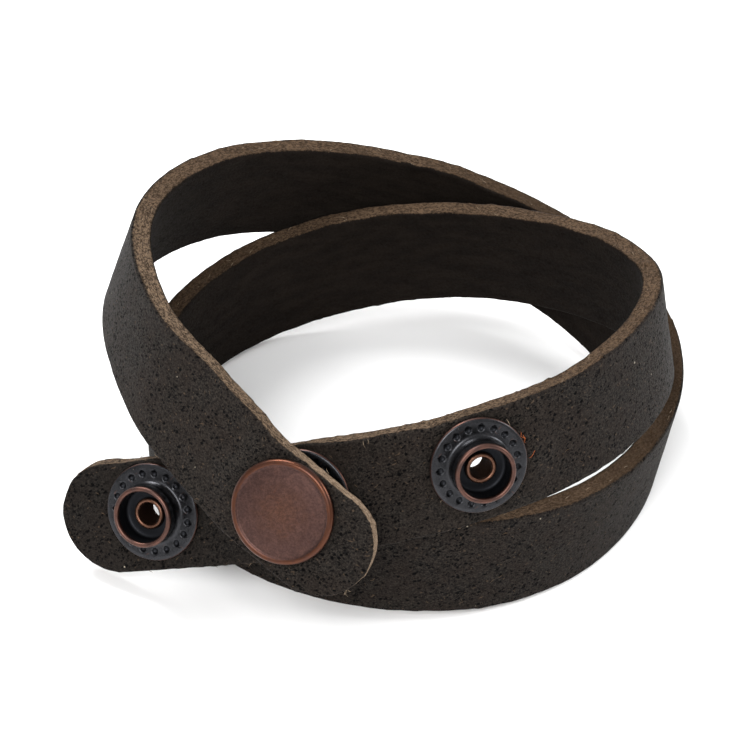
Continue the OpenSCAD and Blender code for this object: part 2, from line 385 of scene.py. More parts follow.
class Nodes:
    """Shorthand for a node tree under construction."""

    def __init__(self, tree: bpy.types.NodeTree) -> None:
        """Keeps the tree that the nodes go into."""
        self.tree = tree

    def add(self, kind: str, **values: object) -> bpy.types.Node:
        """Adds a node.

        Args:
            kind: the node's type, without the words that all types start with.
            values: attributes to set on it.

        Returns:
            The new node.
        """
        node = self.tree.nodes.new("ShaderNode" + kind)
        for name, value in values.items():
            setattr(node, name, value)
        return node

    def feed(self, socket: Link, value: Fed) -> None:
        """Links a socket to another, or sets its own value.

        Args:
            socket: the socket to feed.
            value: another socket, a number or a colour.
        """
        if isinstance(value, bpy.types.NodeSocket):
            self.tree.links.new(value, socket)
        else:
            socket.default_value = value

    def fed(self, kind: str, inputs: dict[str | int, Fed], **values: object) -> bpy.types.Node:
        """Adds a node and feeds its inputs.

        Args:
            kind: the node's type, without the words that all types start with.
            inputs: what each input takes, by its name or number.
            values: attributes to set on the node.

        Returns:
            The new node.
        """
        node = self.add(kind, **values)
        for name, value in inputs.items():
            self.feed(node.inputs[name], value)
        return node

    def math(self, operation: str, a: Fed, b: Fed = 0.0, clamp: bool = False) -> Link:
        """A Math node's result."""
        return self.fed("Math", {0: a, 1: b}, operation=operation, use_clamp=clamp).outputs[0]

    def chain(self, operation: str, *values: Fed) -> Fed:
        """Joins values by one operation, from the first to the last.

        Args:
            operation: what a Math node does with each pair.
            values: the values.

        Returns:
            The last node's result, or the value itself if it is alone.
        """
        result = values[0]
        for value in values[1:]:
            result = self.math(operation, result, value)
        return result

    def times(self, *values: Fed) -> Fed:
        """Product of all the values."""
        return self.chain("MULTIPLY", *values)

    def plus(self, *values: Fed) -> Fed:
        """Sum of all the values."""
        return self.chain("ADD", *values)

    def most(self, *values: Fed) -> Fed:
        """Greatest of the values."""
        return self.chain("MAXIMUM", *values)

    def rest(self, value: Fed) -> Link:
        """What is left of 1."""
        return self.math("SUBTRACT", 1.0, value)

    def span(self, value: Fed, low: float, high: float, to_low: float = 0.0, to_high: float = 1.0) -> Link:
        """Eases a value from one span to another, flat outside it."""
        inputs = {"Value": value, "From Min": low, "From Max": high, "To Min": to_low, "To Max": to_high}
        return self.fed("MapRange", inputs, interpolation_type="SMOOTHSTEP", clamp=True).outputs["Result"]

    def zone(self, value: Fed, zone: Zone) -> Link:
        """Mask of the stretch of a value that a zone covers, at its strength inside and 0 outside."""
        rise = self.span(value, zone.low - zone.ease_low, zone.low + zone.ease_low, 0.0, zone.strength)
        return self.times(rise, self.span(value, zone.high + zone.ease_high, zone.high - zone.ease_high))

    def mix(self, factor: Fed, a: Fed, b: Fed) -> Link:
        """A colour between two."""
        return self.fed("Mix", {0: factor, 6: a, 7: b}, data_type="RGBA", blend_type="MIX").outputs[2]

    def blend(self, factor: Fed, a: Fed, b: Fed) -> Link:
        """A number between two."""
        return self.fed("Mix", {0: factor, 2: a, 3: b}, data_type="FLOAT").outputs[0]

    def noise(self, where: Link, grain: Grain) -> Link:
        """A noise's value, from 0 to 1.

        Args:
            where: the place.
            grain: the noise.

        Returns:
            The value.
        """
        inputs = {"Vector": self.stretch(where, grain.paces), "Scale": 1.0, "Detail": grain.detail,
                  "Roughness": grain.roughness}
        return self.fed("TexNoise", inputs, noise_dimensions="3D").outputs["Fac"]

    def layer(self, where: Link, layer: Layer) -> Link:
        """Mask of a layer."""
        return self.span(self.noise(where, layer), layer.low, layer.high, layer.least, layer.most)

    def cells(self, where: Link) -> tuple[Link, Link, Link]:
        """Distance to the nearest of points scattered one to a unit, and two random values for that point.

        Args:
            where: the place.

        Returns:
            The distance and the two random values.
        """
        cell = self.fed("TexVoronoi", {"Vector": where, "Scale": 1.0}, feature="F1")
        tint = self.fed("SeparateColor", {0: cell.outputs["Color"]})
        return cell.outputs["Distance"], tint.outputs[0], tint.outputs[1]

    def stretch(self, where: Link, factors: Triple) -> Link:
        """A place with each of its coordinates multiplied."""
        return self.fed("VectorMath", {0: where, 1: factors}, operation="MULTIPLY").outputs[0]

    def split(self, where: Link) -> tuple[Link, ...]:
        """A place's three coordinates."""
        return tuple(self.fed("SeparateXYZ", {0: where}).outputs)

    def spot(self, name: str) -> Link:
        """The vector attribute that a mesh carries."""
        return self.add("Attribute", attribute_name=name).outputs["Vector"]

    def bump(self, height: Fed, distance: float, strength: float) -> Link:
        """Normals raised by a height, with the distance in millimetres."""
        inputs = {"Strength": strength, "Distance": distance * MM, "Height": height}
        return self.fed("Bump", inputs).outputs["Normal"]


def new_group(name: str, takes: dict[str, str],
              gives: list[str]) -> tuple[Nodes, dict[str, Link], dict[str, Link]]:
    """Starts a node group.

    Args:
        name: the group's name.
        takes: name and kind of each input, Vector or Float.
        gives: name of each output, a number.

    Returns:
        The group's nodes, its input sockets by name and its output sockets by name.
    """
    tree = bpy.data.node_groups.new(name, "ShaderNodeTree")
    for socket, kind in takes.items():
        tree.interface.new_socket(name=socket, in_out="INPUT", socket_type="NodeSocket" + kind)
    for socket in gives:
        tree.interface.new_socket(name=socket, in_out="OUTPUT", socket_type="NodeSocketFloat")
    start = tree.nodes.new("NodeGroupInput")
    end = tree.nodes.new("NodeGroupOutput")
    inputs = {socket: start.outputs[socket] for socket in takes}
    outputs = {socket: end.inputs[socket] for socket in gives}
    return Nodes(tree), inputs, outputs


def scatter_group() -> bpy.types.NodeTree:
    """Group that scatters small round marks of uneven size, such as pores and specks.

    Returns:
        The node group, with the marks' mask as its output.
    """
    least_size, sharpness = 0.45, 3.0
    takes = {"Where": "Vector", "Amount": "Float", "Size": "Float"}
    nodes, take, give = new_group("ScatteredMarks", takes, ["Marks"])
    distance, chance, size = nodes.cells(take["Where"])
    chosen = nodes.math("LESS_THAN", chance, take["Amount"])
    reach = nodes.times(take["Size"], nodes.plus(size, least_size))
    inside = nodes.math("SUBTRACT", 1.0, nodes.math("DIVIDE", distance, reach), clamp=True)
    sharp = nodes.math("MULTIPLY", inside, sharpness, clamp=True)
    nodes.feed(give["Marks"], nodes.times(sharp, chosen))
    return nodes.tree


def cloud_group() -> bpy.types.NodeTree:
    """Group that gives slow and fine clouding for stains, plating and grime.

    Returns:
        The node group, with a slow and a fine value as its outputs.
    """
    low, high = 0.3, 0.7
    nodes, take, give = new_group("Clouding", {"Where": "Vector", "Scale": "Float"}, ["Slow", "Fine"])
    for name, pace, detail, roughness in (("Slow", 1.0, 4.0, 0.5), ("Fine", 7.0, 5.0, 0.65)):
        inputs = {"Vector": take["Where"], "Scale": nodes.times(take["Scale"], pace), "Detail": detail,
                  "Roughness": roughness}
        cloud = nodes.fed("TexNoise", inputs).outputs["Fac"]
        nodes.feed(give[name], nodes.span(cloud, low, high))
    return nodes.tree


def hair_group() -> bpy.types.NodeTree:
    """Group that scatters short, slightly curved hairs in two directions.

    Returns:
        The node group, with the hairs' mask as its output.
    """
    pace_along, pace_aside, bow_pace, bow = 0.85, 5.0, 1.1, 0.9
    half_width, core = 0.42, 0.22
    nodes, take, give = new_group("ShortHairs", {"Where": "Vector", "Amount": "Float"}, ["Hairs"])
    x, y, z = nodes.split(take["Where"])
    curve = nodes.times(nodes.noise(take["Where"], Grain((bow_pace, bow_pace, bow_pace), 1.0)), bow)
    masks = []
    for lean, shift in ((0.55, 0.0), (-1.35, 31.0)):
        along = nodes.plus(x, nodes.times(y, lean), shift)
        aside = nodes.math("SUBTRACT", nodes.plus(y, curve), nodes.times(x, lean))
        paced = {0: nodes.times(along, pace_along), 1: nodes.times(aside, pace_aside), 2: z}
        distance, chance, _ = nodes.cells(nodes.fed("CombineXYZ", paced).outputs[0])
        chosen = nodes.math("LESS_THAN", chance, take["Amount"])
        masks.append(nodes.times(nodes.span(distance, half_width, core), chosen))
    nodes.feed(give["Hairs"], nodes.most(*masks))
    return nodes.tree


class Effects:
    """The node groups that more than one finish uses, built once."""

    def __init__(self) -> None:
        """Builds the groups."""
        self.scatter = scatter_group()
        self.cloud = cloud_group()
        self.hair = hair_group()

    def marks(self, nodes: Nodes, where: Link, marks: Marks) -> Link:
        """Mask of scattered marks.

        Args:
            nodes: the material's nodes.
            where: the place on the piece.
            marks: how the marks are scattered.

        Returns:
            The mask, at the marks' strength.
        """
        inputs = {"Where": nodes.stretch(where, marks.paces), "Amount": marks.amount, "Size": marks.size}
        mask = nodes.fed("Group", inputs, node_tree=self.scatter).outputs["Marks"]
        return nodes.times(mask, marks.strength)

    def hairs(self, nodes: Nodes, where: Link, amount: float, strength: float) -> Link:
        """Mask of short curved hairs."""
        mask = nodes.fed("Group", {"Where": where, "Amount": amount}, node_tree=self.hair).outputs["Hairs"]
        return nodes.times(mask, strength)

    def clouds(self, nodes: Nodes, where: Link, scale: float) -> tuple[Link, Link]:
        """Slow and fine clouding."""
        node = nodes.fed("Group", {"Where": where, "Scale": scale}, node_tree=self.cloud)
        return node.outputs["Slow"], node.outputs["Fine"]


def start_material(name: str) -> tuple[bpy.types.Material, Nodes, bpy.types.Node]:
    """Starts a material.

    Args:
        name: the material's name.

    Returns:
        The material, its nodes and its shader.
    """
    material = bpy.data.materials.new(name)
    material.use_nodes = True
    shader = material.node_tree.nodes["Principled BSDF"]
    return material, Nodes(material.node_tree), shader


@dataclass(frozen=True)
class LeatherFinish:
    """Dark grained leather with open pores, a smooth flesh side and light fibrous cut edges."""

    half_t: float
    face: Colour = (0.0016, 0.0013, 0.0010, 1.0)
    face_worn: Colour = (0.0180, 0.0145, 0.0118, 1.0)
    face_warm: Colour = (0.0130, 0.0080, 0.0055, 1.0)
    crumb: Colour = (0.0340, 0.0275, 0.0220, 1.0)
    pore: Colour = (0.0004, 0.0003, 0.0003, 1.0)
    hair: Colour = (0.060, 0.040, 0.025, 1.0)
    dust: Colour = (0.30, 0.26, 0.20, 1.0)
    flesh: Colour = (0.0035, 0.0022, 0.0013, 1.0)
    flesh_pale: Colour = (0.0070, 0.0048, 0.0032, 1.0)
    edge_dark: Colour = (0.0120, 0.0072, 0.0042, 1.0)
    edge_light: Colour = (0.120, 0.077, 0.047, 1.0)
    edge_fresh: Colour = (0.228, 0.162, 0.108, 1.0)
    edge_tip: Colour = (0.36, 0.265, 0.185, 1.0)
    # Dark brown of stains on the cut edges, also used for painted shade on them.
    edge_stain_and_shade: Colour = (0.028, 0.0165, 0.0085, 1.0)
    # Colour layers of the finished face.
    face_clouds: float = 0.30
    grain: Layer = Layer((3.6, 3.6, 3.6), 4.0, 0.68, 0.38, 0.66)
    crumbs: Layer = Layer((4.6, 5.4, 5.0), 2.0, 0.5, 0.50, 0.68, most=0.60)
    flecks: Marks = Marks((2.1, 2.7, 2.3), 0.13, 0.26, 0.62)
    specks: Marks = Marks((0.60, 0.60, 0.60), 0.16, 0.075, 0.8)
    wide_pores: Marks = Marks((1.7, 2.1, 1.9), 0.45, 0.32)
    fine_pores: Marks = Marks((3.3, 3.9, 3.6), 0.55, 0.40)
    crowd: Layer = Layer((0.22, 0.22, 0.22), 2.0, 0.5, 0.35, 0.6, least=0.35)
    pore_grain: Grain = Grain((4.5, 4.5, 4.5), 2.0)
    pore_tear: Triple = (0.55, 0.50, 0.0)
    warmth: float = 0.40
    hair_amount: float = 0.012
    hair_strength: float = 0.80
    # Painted shade: where the tab is painted darker towards its tip, and how strongly.
    tab_shade_at: Span = (36.0, 16.0)
    tab_shade: float = 0.30
    # Colour layers of the flesh side.
    streaks: Layer = Layer((0.25, 0.9, 1.0), 5.0, 0.6, 0.32, 0.68)
    nap: Layer = Layer((3.0, 5.0, 3.0), 3.0, 0.5, 0.45, 0.75, most=0.35)
    # Colour layers of the cut edges, with the values between which their fibres turn light.
    edge_clouds: float = 0.14
    fibre: Grain = Grain((2.5, 3.2, 4.4), 6.0, 0.80)
    fibre_span: Span = (0.36, 0.62)
    fresh_span: Span = (0.42, 0.60)
    tip_span: Span = (0.38, 0.58)
    gaps: Marks = Marks((2.6, 3.4, 4.2), 0.50, 0.36, 0.75)
    soiling: float = 0.35
    stale: Zone = Zone(52.0, 345.0, 14.0, 14.0)
    fresh: float = 0.60
    tip_at: Span = (383.0, 392.0)
    tip: float = 0.62
    corner_depth: Span = (0.60, 0.10)
    corner: float = 0.25
    # Stretches along the strap over which the cut edges are painted darker; the third, round 139 to 181 mm,
    # is painted shade.
    edge_dark_stretches: tuple[Zone, ...] = (
        Zone(228.0, 300.0, 12.0, 14.0),
        Zone(282.5, 335.0, 12.5, 10.0, 0.28),
        Zone(139.0, 181.0, 11.0, 9.0, 0.75),
    )
    edge_darkening: float = 0.62
    # Where the face and the flesh side end, as depths under each, and how torn these lines are.
    torn: Grain = Grain((3.2, 3.2, 3.2), 5.0, 0.7)
    tear: float = 0.55
    face_depth: Span = (0.32, 0.16)
    flesh_depth: Span = (0.28, 0.12)
    # Roughness and relief.
    gloss_clouds: float = 0.5
    gloss: Span = (0.80, 0.64)
    pore_dull: float = 0.30
    edge_dull: float = 0.12
    specular: float = 0.09
    grain_relief: Grain = Grain((3.4, 3.4, 3.4), 5.0, 0.62)
    grain_lift: float = 0.60
    pore_depth: float = 0.8
    fibre_relief: Grain = Grain((2.2, 3.4, 4.8), 6.0, 0.75)
    fibre_lift: float = 2.2
    nap_relief: Grain = Grain((2.5, 4.0, 3.0))
    nap_lift: float = 0.3
    relief_mm: float = 0.16
    relief_strength: float = 0.9

    def build(self, effects: Effects) -> bpy.types.Material:
        """Makes the material.

        Args:
            effects: the shared node groups.

        Returns:
            The finished material, which reads the strap's own laid-flat places in millimetres.
        """
        material, nodes, shader = start_material("dark_grained_leather")
        where = nodes.spot("laid_flat")
        height = nodes.split(where)[2]
        torn = nodes.math("SUBTRACT", nodes.noise(where, self.torn), 0.5)
        level = nodes.plus(height, nodes.times(torn, self.tear))
        finished = nodes.span(level, *(self.half_t - depth for depth in self.face_depth))
        flesh = nodes.span(level, *(depth - self.half_t for depth in self.flesh_depth))
        pores = self.pores(nodes, effects, where)
        edge = self.edge_colour(nodes, effects, where)
        colour = nodes.mix(finished, edge, self.face_colour(nodes, effects, where, pores))
        nodes.feed(shader.inputs["Base Color"], nodes.mix(flesh, colour, self.flesh_colour(nodes, where)))
        fine = effects.clouds(nodes, where, self.gloss_clouds)[1]
        gloss = nodes.span(fine, 0.0, 1.0, *self.gloss)
        dull = nodes.times(nodes.rest(finished), self.edge_dull)
        rough = nodes.math("ADD", nodes.plus(gloss, nodes.times(pores, self.pore_dull)), dull, clamp=True)
        nodes.feed(shader.inputs["Roughness"], rough)
        shader.inputs["Specular IOR Level"].default_value = self.specular
        nodes.feed(shader.inputs["Normal"], self.relief(nodes, where, pores, finished, flesh))
        return material

    def pores(self, nodes: Nodes, effects: Effects, where: Link) -> Link:
        """Mask of the open pores: wide ones, fine ones, and clusters where both are denser.

        Args:
            nodes: the material's nodes.
            effects: the shared node groups.
            where: the laid-flat place.

        Returns:
            The mask.
        """
        torn = nodes.stretch(nodes.noise(where, self.pore_grain), self.pore_tear)
        warped = nodes.fed("VectorMath", {0: where, 1: torn}, operation="ADD").outputs[0]
        wide = effects.marks(nodes, warped, self.wide_pores)
        fine = effects.marks(nodes, warped, self.fine_pores)
        return nodes.most(wide, nodes.times(fine, nodes.layer(warped, self.crowd)))

    def face_colour(self, nodes: Nodes, effects: Effects, where: Link, pores: Link) -> Link:
        """Colour of the finished face: mottled dark brown, black pores, short hairs and dust, with painted
        shade over the tab.

        Args:
            nodes: the material's nodes.
            effects: the shared node groups.
            where: the laid-flat place.
            pores: the pores' mask.

        Returns:
            The colour.
        """
        along = nodes.split(where)[0]
        slow = effects.clouds(nodes, where, self.face_clouds)[0]
        colour = nodes.mix(nodes.layer(where, self.grain), self.face, self.face_worn)
        colour = nodes.mix(nodes.layer(where, self.crumbs), colour, self.crumb)
        colour = nodes.mix(nodes.times(slow, self.warmth), colour, self.face_warm)
        # Painted shade: the tab is painted darker towards its tip.
        colour = nodes.mix(nodes.span(along, *self.tab_shade_at, 0.0, self.tab_shade), colour, self.face)
        colour = nodes.mix(effects.marks(nodes, where, self.flecks), colour, self.hair)
        colour = nodes.mix(pores, colour, self.pore)
        hairs = effects.hairs(nodes, where, self.hair_amount, self.hair_strength)
        colour = nodes.mix(hairs, colour, self.hair)
        return nodes.mix(effects.marks(nodes, where, self.specks), colour, self.dust)

    def flesh_colour(self, nodes: Nodes, where: Link) -> Link:
        """Colour of the flesh side: smooth, very dark, faintly streaked along the strap."""
        colour = nodes.mix(nodes.layer(where, self.streaks), self.flesh, self.flesh_pale)
        return nodes.mix(nodes.layer(where, self.nap), colour, self.flesh_pale)

    def edge_colour(self, nodes: Nodes, effects: Effects, where: Link) -> Link:
        """Colour of the cut edges: tan fibres, dark gaps, dark corners, stains, and stretches along the
        strap painted darker, one of them as painted shade.

        Args:
            nodes: the material's nodes.
            effects: the shared node groups.
            where: the laid-flat place.

        Returns:
            The colour.
        """
        along, _, height = nodes.split(where)
        fibre = nodes.noise(where, self.fibre)
        colour = nodes.mix(nodes.span(fibre, *self.fibre_span), self.edge_dark, self.edge_light)
        colour = nodes.mix(effects.marks(nodes, where, self.gaps), colour, self.edge_dark)
        slow = effects.clouds(nodes, where, self.edge_clouds)[0]
        colour = nodes.mix(nodes.times(slow, self.soiling), colour, self.edge_stain_and_shade)
        fresh = nodes.rest(nodes.zone(along, self.stale))
        pale = nodes.mix(nodes.span(fibre, *self.fresh_span), self.edge_dark, self.edge_fresh)
        colour = nodes.mix(nodes.times(fresh, self.fresh), colour, pale)
        pale = nodes.mix(nodes.span(fibre, *self.tip_span), self.edge_light, self.edge_tip)
        colour = nodes.mix(nodes.span(along, *self.tip_at, 0.0, self.tip), colour, pale)
        reach = (self.half_t - depth for depth in self.corner_depth)
        corner = nodes.span(nodes.math("ABSOLUTE", height), *reach, 0.0, self.corner)
        colour = nodes.mix(corner, colour, self.edge_stain_and_shade)
        # Stretches painted darker along the strap, one of them painted shade.
        darkened = nodes.most(*(nodes.zone(along, zone) for zone in self.edge_dark_stretches))
        return nodes.mix(nodes.times(darkened, self.edge_darkening), colour, self.edge_stain_and_shade)

    def relief(self, nodes: Nodes, where: Link, pores: Link, finished: Link, flesh: Link) -> Link:
        """Normals of the leather: grain and pores on the face, fibres on the edges, nap on the back.

        Args:
            nodes: the material's nodes.
            where: the laid-flat place.
            pores: the pores' mask.
            finished: mask of the finished face.
            flesh: mask of the flesh side.

        Returns:
            The normals.
        """
        grain = nodes.times(nodes.noise(where, self.grain_relief), self.grain_lift)
        face = nodes.math("SUBTRACT", grain, nodes.times(pores, self.pore_depth))
        fibre = nodes.times(nodes.noise(where, self.fibre_relief), self.fibre_lift)
        nap = nodes.times(nodes.noise(where, self.nap_relief), self.nap_lift)
        height = nodes.blend(flesh, nodes.blend(finished, fibre, face), nap)
        return nodes.bump(height, self.relief_mm, self.relief_strength)


@dataclass(frozen=True)
class Fibre:
    """One loose fibre, by its root on the flat strap and the way it curls, in millimetres."""

    along: float
    across: float
    height: float
    heading: float
    length: float
    rise: float
    bow: float
    wiggle: float = 0.0
    wiggles: float = 2.2
    arch: float = 2.6

    def at(self, t: float) -> Vector:
        """Its middle line.

        Args:
            t: share of its length, from the root at 0 to the tip at 1.

        Returns:
            The place over the flat strap.
        """
        way = Vector((math.cos(self.heading), math.sin(self.heading), 0.0))
        aside = Vector((-way.y, way.x, 0.0))
        sway = self.bow * t * t + self.wiggle * math.sin(self.wiggles * math.tau * t)
        root = Vector((self.along, self.across, self.height))
        lift = Vector((0.0, 0.0, self.rise * math.sin(self.arch * t)))
        return root + self.length * (t * way + sway * aside) + lift


@dataclass(frozen=True)
class FibreFinish:
    """Loose leather fibres: matt, with an uneven colour along each."""

    name: str
    dark: Colour
    light: Colour
    clouds: float = 0.8
    gloss: Span = (0.75, 0.9)
    specular: float = 0.15

    def build(self, effects: Effects) -> bpy.types.Material:
        """Makes the material.

        Args:
            effects: the shared node groups.

        Returns:
            The finished material.
        """
        material, nodes, shader = start_material(self.name)
        slow, fine = effects.clouds(nodes, nodes.spot("laid_flat"), self.clouds)
        nodes.feed(shader.inputs["Base Color"], nodes.mix(fine, self.dark, self.light))
        nodes.feed(shader.inputs["Roughness"], nodes.span(slow, 0.0, 1.0, *self.gloss))
        shader.inputs["Specular IOR Level"].default_value = self.specular
        return material


TAN_FIBRE = FibreFinish("tan_fibre", (0.050, 0.033, 0.020, 1.0), (0.30, 0.23, 0.16, 1.0))
RUST_FIBRE = FibreFinish("rust_fibre", (0.16, 0.035, 0.008, 1.0), (0.50, 0.13, 0.035, 1.0))
STRAY_TAN = [
    Fibre(53.45, 4.95, 1.50, -1.25, 1.05, 0.55, -0.30),
    Fibre(44.3, -2.9, 1.25, 0.5, 1.1, 0.10, 0.30),
    Fibre(45.3, -2.7, 1.25, 2.2, 0.8, 0.08, -0.35),
    Fibre(38.2, 6.1, 1.25, -1.9, 0.9, 0.10, 0.45),
    Fibre(38.7, 6.2, 1.25, -1.3, 0.6, 0.08, -0.30),
    Fibre(400.25, -2.9, 0.90, -0.5, 0.65, 0.10, 0.30),
    Fibre(400.25, -2.7, 1.00, -1.0, 0.55, 0.10, -0.30),
    Fibre(400.30, -2.5, 0.80, -0.2, 0.50, 0.05, 0.40),
    Fibre(400.28, -2.4, 1.05, -1.3, 0.60, 0.10, 0.20),
]
STRAY_RUST = [
    Fibre(54.60, 2.95, 1.62, -1.35, 1.75, 0.12, 0.05, 0.075),
    Fibre(54.85, 2.45, 1.62, -1.10, 0.85, 0.10, -0.25, 0.05),
    Fibre(54.95, -0.45, 1.90, 0.20, 0.85, 0.10, 0.60),
    Fibre(55.55, -0.05, 1.90, 1.15, 0.40, 0.05, -0.40),
]


@dataclass(frozen=True)
class Band:
    """A part of a turned piece, between two radii and two heights in millimetres."""

    low_r: float
    high_r: float
    low_z: float
    high_z: float

    def grown(self, margin: "Band") -> "Band":
        """The band with each of its limits moved by a margin's."""
        return Band(self.low_r + margin.low_r, self.high_r + margin.high_r, self.low_z + margin.low_z,
                    self.high_z + margin.high_z)


@dataclass(frozen=True)
class GrimeAndShade:
    """Where a turned piece is darkened, in its hollow and in its ring of pits if it has them: grime on the
    studs, painted shade down the eyelets' bores.
    """

    hollow_r: float = 0.0
    hollow_top: float = 0.0
    dull: float = 0.0
    pits: Band | None = None


@dataclass(frozen=True)
class PlatedFinish:
    """Plated brass whose high edges are worn to copper and whose hollows are darkened: grime in the studs,
    painted shade down the eyelets' bores.
    """

    name: str
    plate: Colour
    plate_pale: Colour
    copper: Colour
    grime_and_shade: Colour
    roughness: float
    copper_roughness: float
    warm: Colour = (0.0, 0.0, 0.0, 1.0)
    warm_r: float = 0.0
    warm_wander: float = 2.0
    warm_core: float = 0.5
    speckle: float = 0.30
    dust: Colour = (0.26, 0.20, 0.155, 1.0)
    clouds: float = 0.9
    speckles: Layer = Layer((3.4, 3.4, 3.4), 4.0, 0.75, 0.36, 0.64)
    specks: Marks = Marks((0.62, 0.62, 0.62), 0.14, 0.060, 0.6)
    scuff_paces: Triple = (0.9, 0.9, 0.9)
    scuff_amount: float = 0.030
    scuff_strength: float = 0.35
    worn_ease: float = 0.06
    worn_wander: float = 0.10
    hollow_ease: float = 0.10
    hollow_fade: float = 0.15
    pit_ease: float = 0.04
    pit_grime: float = 0.85
    pit_dull: float = 0.8
    gloss: Span = (-0.04, 0.08)
    scratches: Grain = Grain((7.0, 7.0, 7.0), 4.0, 0.6)
    relief_mm: float = 0.009
    relief_strength: float = 0.5

    def build(self, effects: Effects, worn: list[Band], grime_and_shade: GrimeAndShade) -> bpy.types.Material:
        """Makes the material.

        Args:
            effects: the shared node groups.
            worn: bands worn to copper.
            grime_and_shade: where grime and painted shade lie.

        Returns:
            The finished material, which reads the turned piece's own places in millimetres.
        """
        material, nodes, shader = start_material(self.name)
        where = nodes.spot("turned")
        x, y, z = nodes.split(where)
        radius = nodes.math("SQRT", nodes.plus(nodes.times(x, x), nodes.times(y, y)))
        slow, fine = effects.clouds(nodes, where, self.clouds)
        colour = self.plate_colour(nodes, effects, where, radius, slow, fine)
        wander = nodes.times(nodes.math("SUBTRACT", fine, 0.5), self.worn_wander)
        uneven_r, uneven_z = nodes.plus(radius, wander), nodes.plus(z, wander)
        mask = nodes.most(0.0, *(self.worn_part(nodes, uneven_r, uneven_z, part) for part in worn))
        colour = nodes.mix(mask, colour, nodes.mix(nodes.times(slow, 0.5), self.copper, self.plate))
        # Darkens the hollows: grime in the studs, painted shade down the eyelets' bores.
        colour, deep = self.soil(nodes, colour, nodes.rest(mask), radius, z, grime_and_shade)
        nodes.feed(shader.inputs["Base Color"], colour)
        plain = nodes.span(fine, 0.0, 1.0, *(self.roughness + change for change in self.gloss))
        rub = nodes.times(mask, self.copper_roughness - self.roughness)
        nodes.feed(shader.inputs["Roughness"], nodes.plus(plain, rub, nodes.times(deep, grime_and_shade.dull)))
        shader.inputs["Metallic"].default_value = 1.0
        scratch = nodes.noise(where, self.scratches)
        nodes.feed(shader.inputs["Normal"], nodes.bump(scratch, self.relief_mm, self.relief_strength))
        return material

    def plate_colour(self, nodes: Nodes, effects: Effects, where: Link, radius: Link, slow: Link,
                     fine: Link) -> Link:
        """Colour of the plating: clouded, warmer in the middle, with speckles, scuffs and dust.

        Args:
            nodes: the material's nodes.
            effects: the shared node groups.
            where: the place on the turned piece.
            radius: distance from its axis.
            slow: slow clouding.
            fine: fine clouding.

        Returns:
            The colour.
        """
        colour = nodes.mix(nodes.times(nodes.plus(fine, slow), 0.5), self.plate, self.plate_pale)
        if self.warm_r:
            uneven_r = nodes.plus(radius, nodes.times(slow, self.warm_wander))
            inner = nodes.span(uneven_r, self.warm_r, self.warm_core)
            colour = nodes.mix(nodes.times(inner, 0.5), colour, self.warm)
        colour = nodes.mix(nodes.times(nodes.layer(where, self.speckles), self.speckle), colour, self.grime_and_shade)
        paced = nodes.stretch(where, self.scuff_paces)
        scuffs = effects.hairs(nodes, paced, self.scuff_amount, self.scuff_strength)
        colour = nodes.mix(scuffs, colour, self.copper)
        return nodes.mix(effects.marks(nodes, where, self.specks), colour, self.dust)

    def worn_part(self, nodes: Nodes, radius: Link, height: Link, part: Band) -> Link:
        """Mask of a part that is worn to copper.

        Args:
            nodes: the material's nodes.
            radius: distance from the piece's axis.
            height: height along it.
            part: the part.

        Returns:
            The mask.
        """
        ease = self.worn_ease
        wide = nodes.zone(radius, Zone(part.low_r, part.high_r, ease, ease))
        return nodes.times(wide, nodes.zone(height, Zone(part.low_z, part.high_z, ease, ease)))

    def soil(self, nodes: Nodes, colour: Link, unworn: Link, radius: Link, height: Link,
             grime_and_shade: GrimeAndShade) -> tuple[Link, Fed]:
        """Darkens the hollow, with grime in a stud and painted shade down an eyelet's bore, and lays grime
        in the pits.

        Args:
            nodes: the material's nodes.
            colour: the colour without grime and painted shade.
            unworn: mask of what isn't worn to copper.
            radius: distance from the piece's axis.
            height: height along it.
            grime_and_shade: where grime and painted shade lie.

        Returns:
            The colour, and the mask of grime and painted shade.
        """
        deep: Fed = 0.0
        # The hollow: grime in a stud, painted shade down an eyelet's bore.
        if grime_and_shade.hollow_r:
            inside = nodes.span(radius, grime_and_shade.hollow_r, grime_and_shade.hollow_r - self.hollow_ease)
            below = nodes.span(height, grime_and_shade.hollow_top, grime_and_shade.hollow_top - self.hollow_fade)
            deep = nodes.times(inside, below)
            colour = nodes.mix(nodes.times(deep, unworn), colour, self.grime_and_shade)
        if grime_and_shade.pits:
            pits = grime_and_shade.pits
            ring = nodes.zone(radius, Zone(pits.low_r, pits.high_r, self.pit_ease, self.pit_ease))
            sunk = nodes.times(ring, nodes.span(height, pits.high_z, pits.low_z))
            colour = nodes.mix(nodes.times(sunk, self.pit_grime), colour, self.grime_and_shade)
            deep = nodes.most(deep, nodes.times(sunk, self.pit_dull))
        return colour, deep


GUNMETAL = PlatedFinish(
    "gunmetal_plate", (0.0235, 0.0237, 0.0255, 1.0), (0.045, 0.0453, 0.0490, 1.0),
    (0.104, 0.053, 0.041, 1.0), (0.0170, 0.0178, 0.0205, 1.0), 0.31, 0.40)
ANTIQUE_COPPER = PlatedFinish(
    "antique_copper", (0.048, 0.0280, 0.0260, 1.0), (0.096, 0.0500, 0.0400, 1.0),
    (0.084, 0.0335, 0.0195, 1.0), (0.030, 0.0180, 0.0165, 1.0), 0.42, 0.35,
    warm=(0.125, 0.0560, 0.0320, 1.0), warm_r=5.5, speckle=0.55)
# Its near-black fourth colour is painted shade down the eyelets' bores.
EYELET_COPPER = PlatedFinish(
    "eyelet_copper", (0.108, 0.054, 0.037, 1.0), (0.158, 0.080, 0.052, 1.0),
    (0.22, 0.09, 0.045, 1.0), (0.0020, 0.0014, 0.0012, 1.0), 0.38, 0.34)


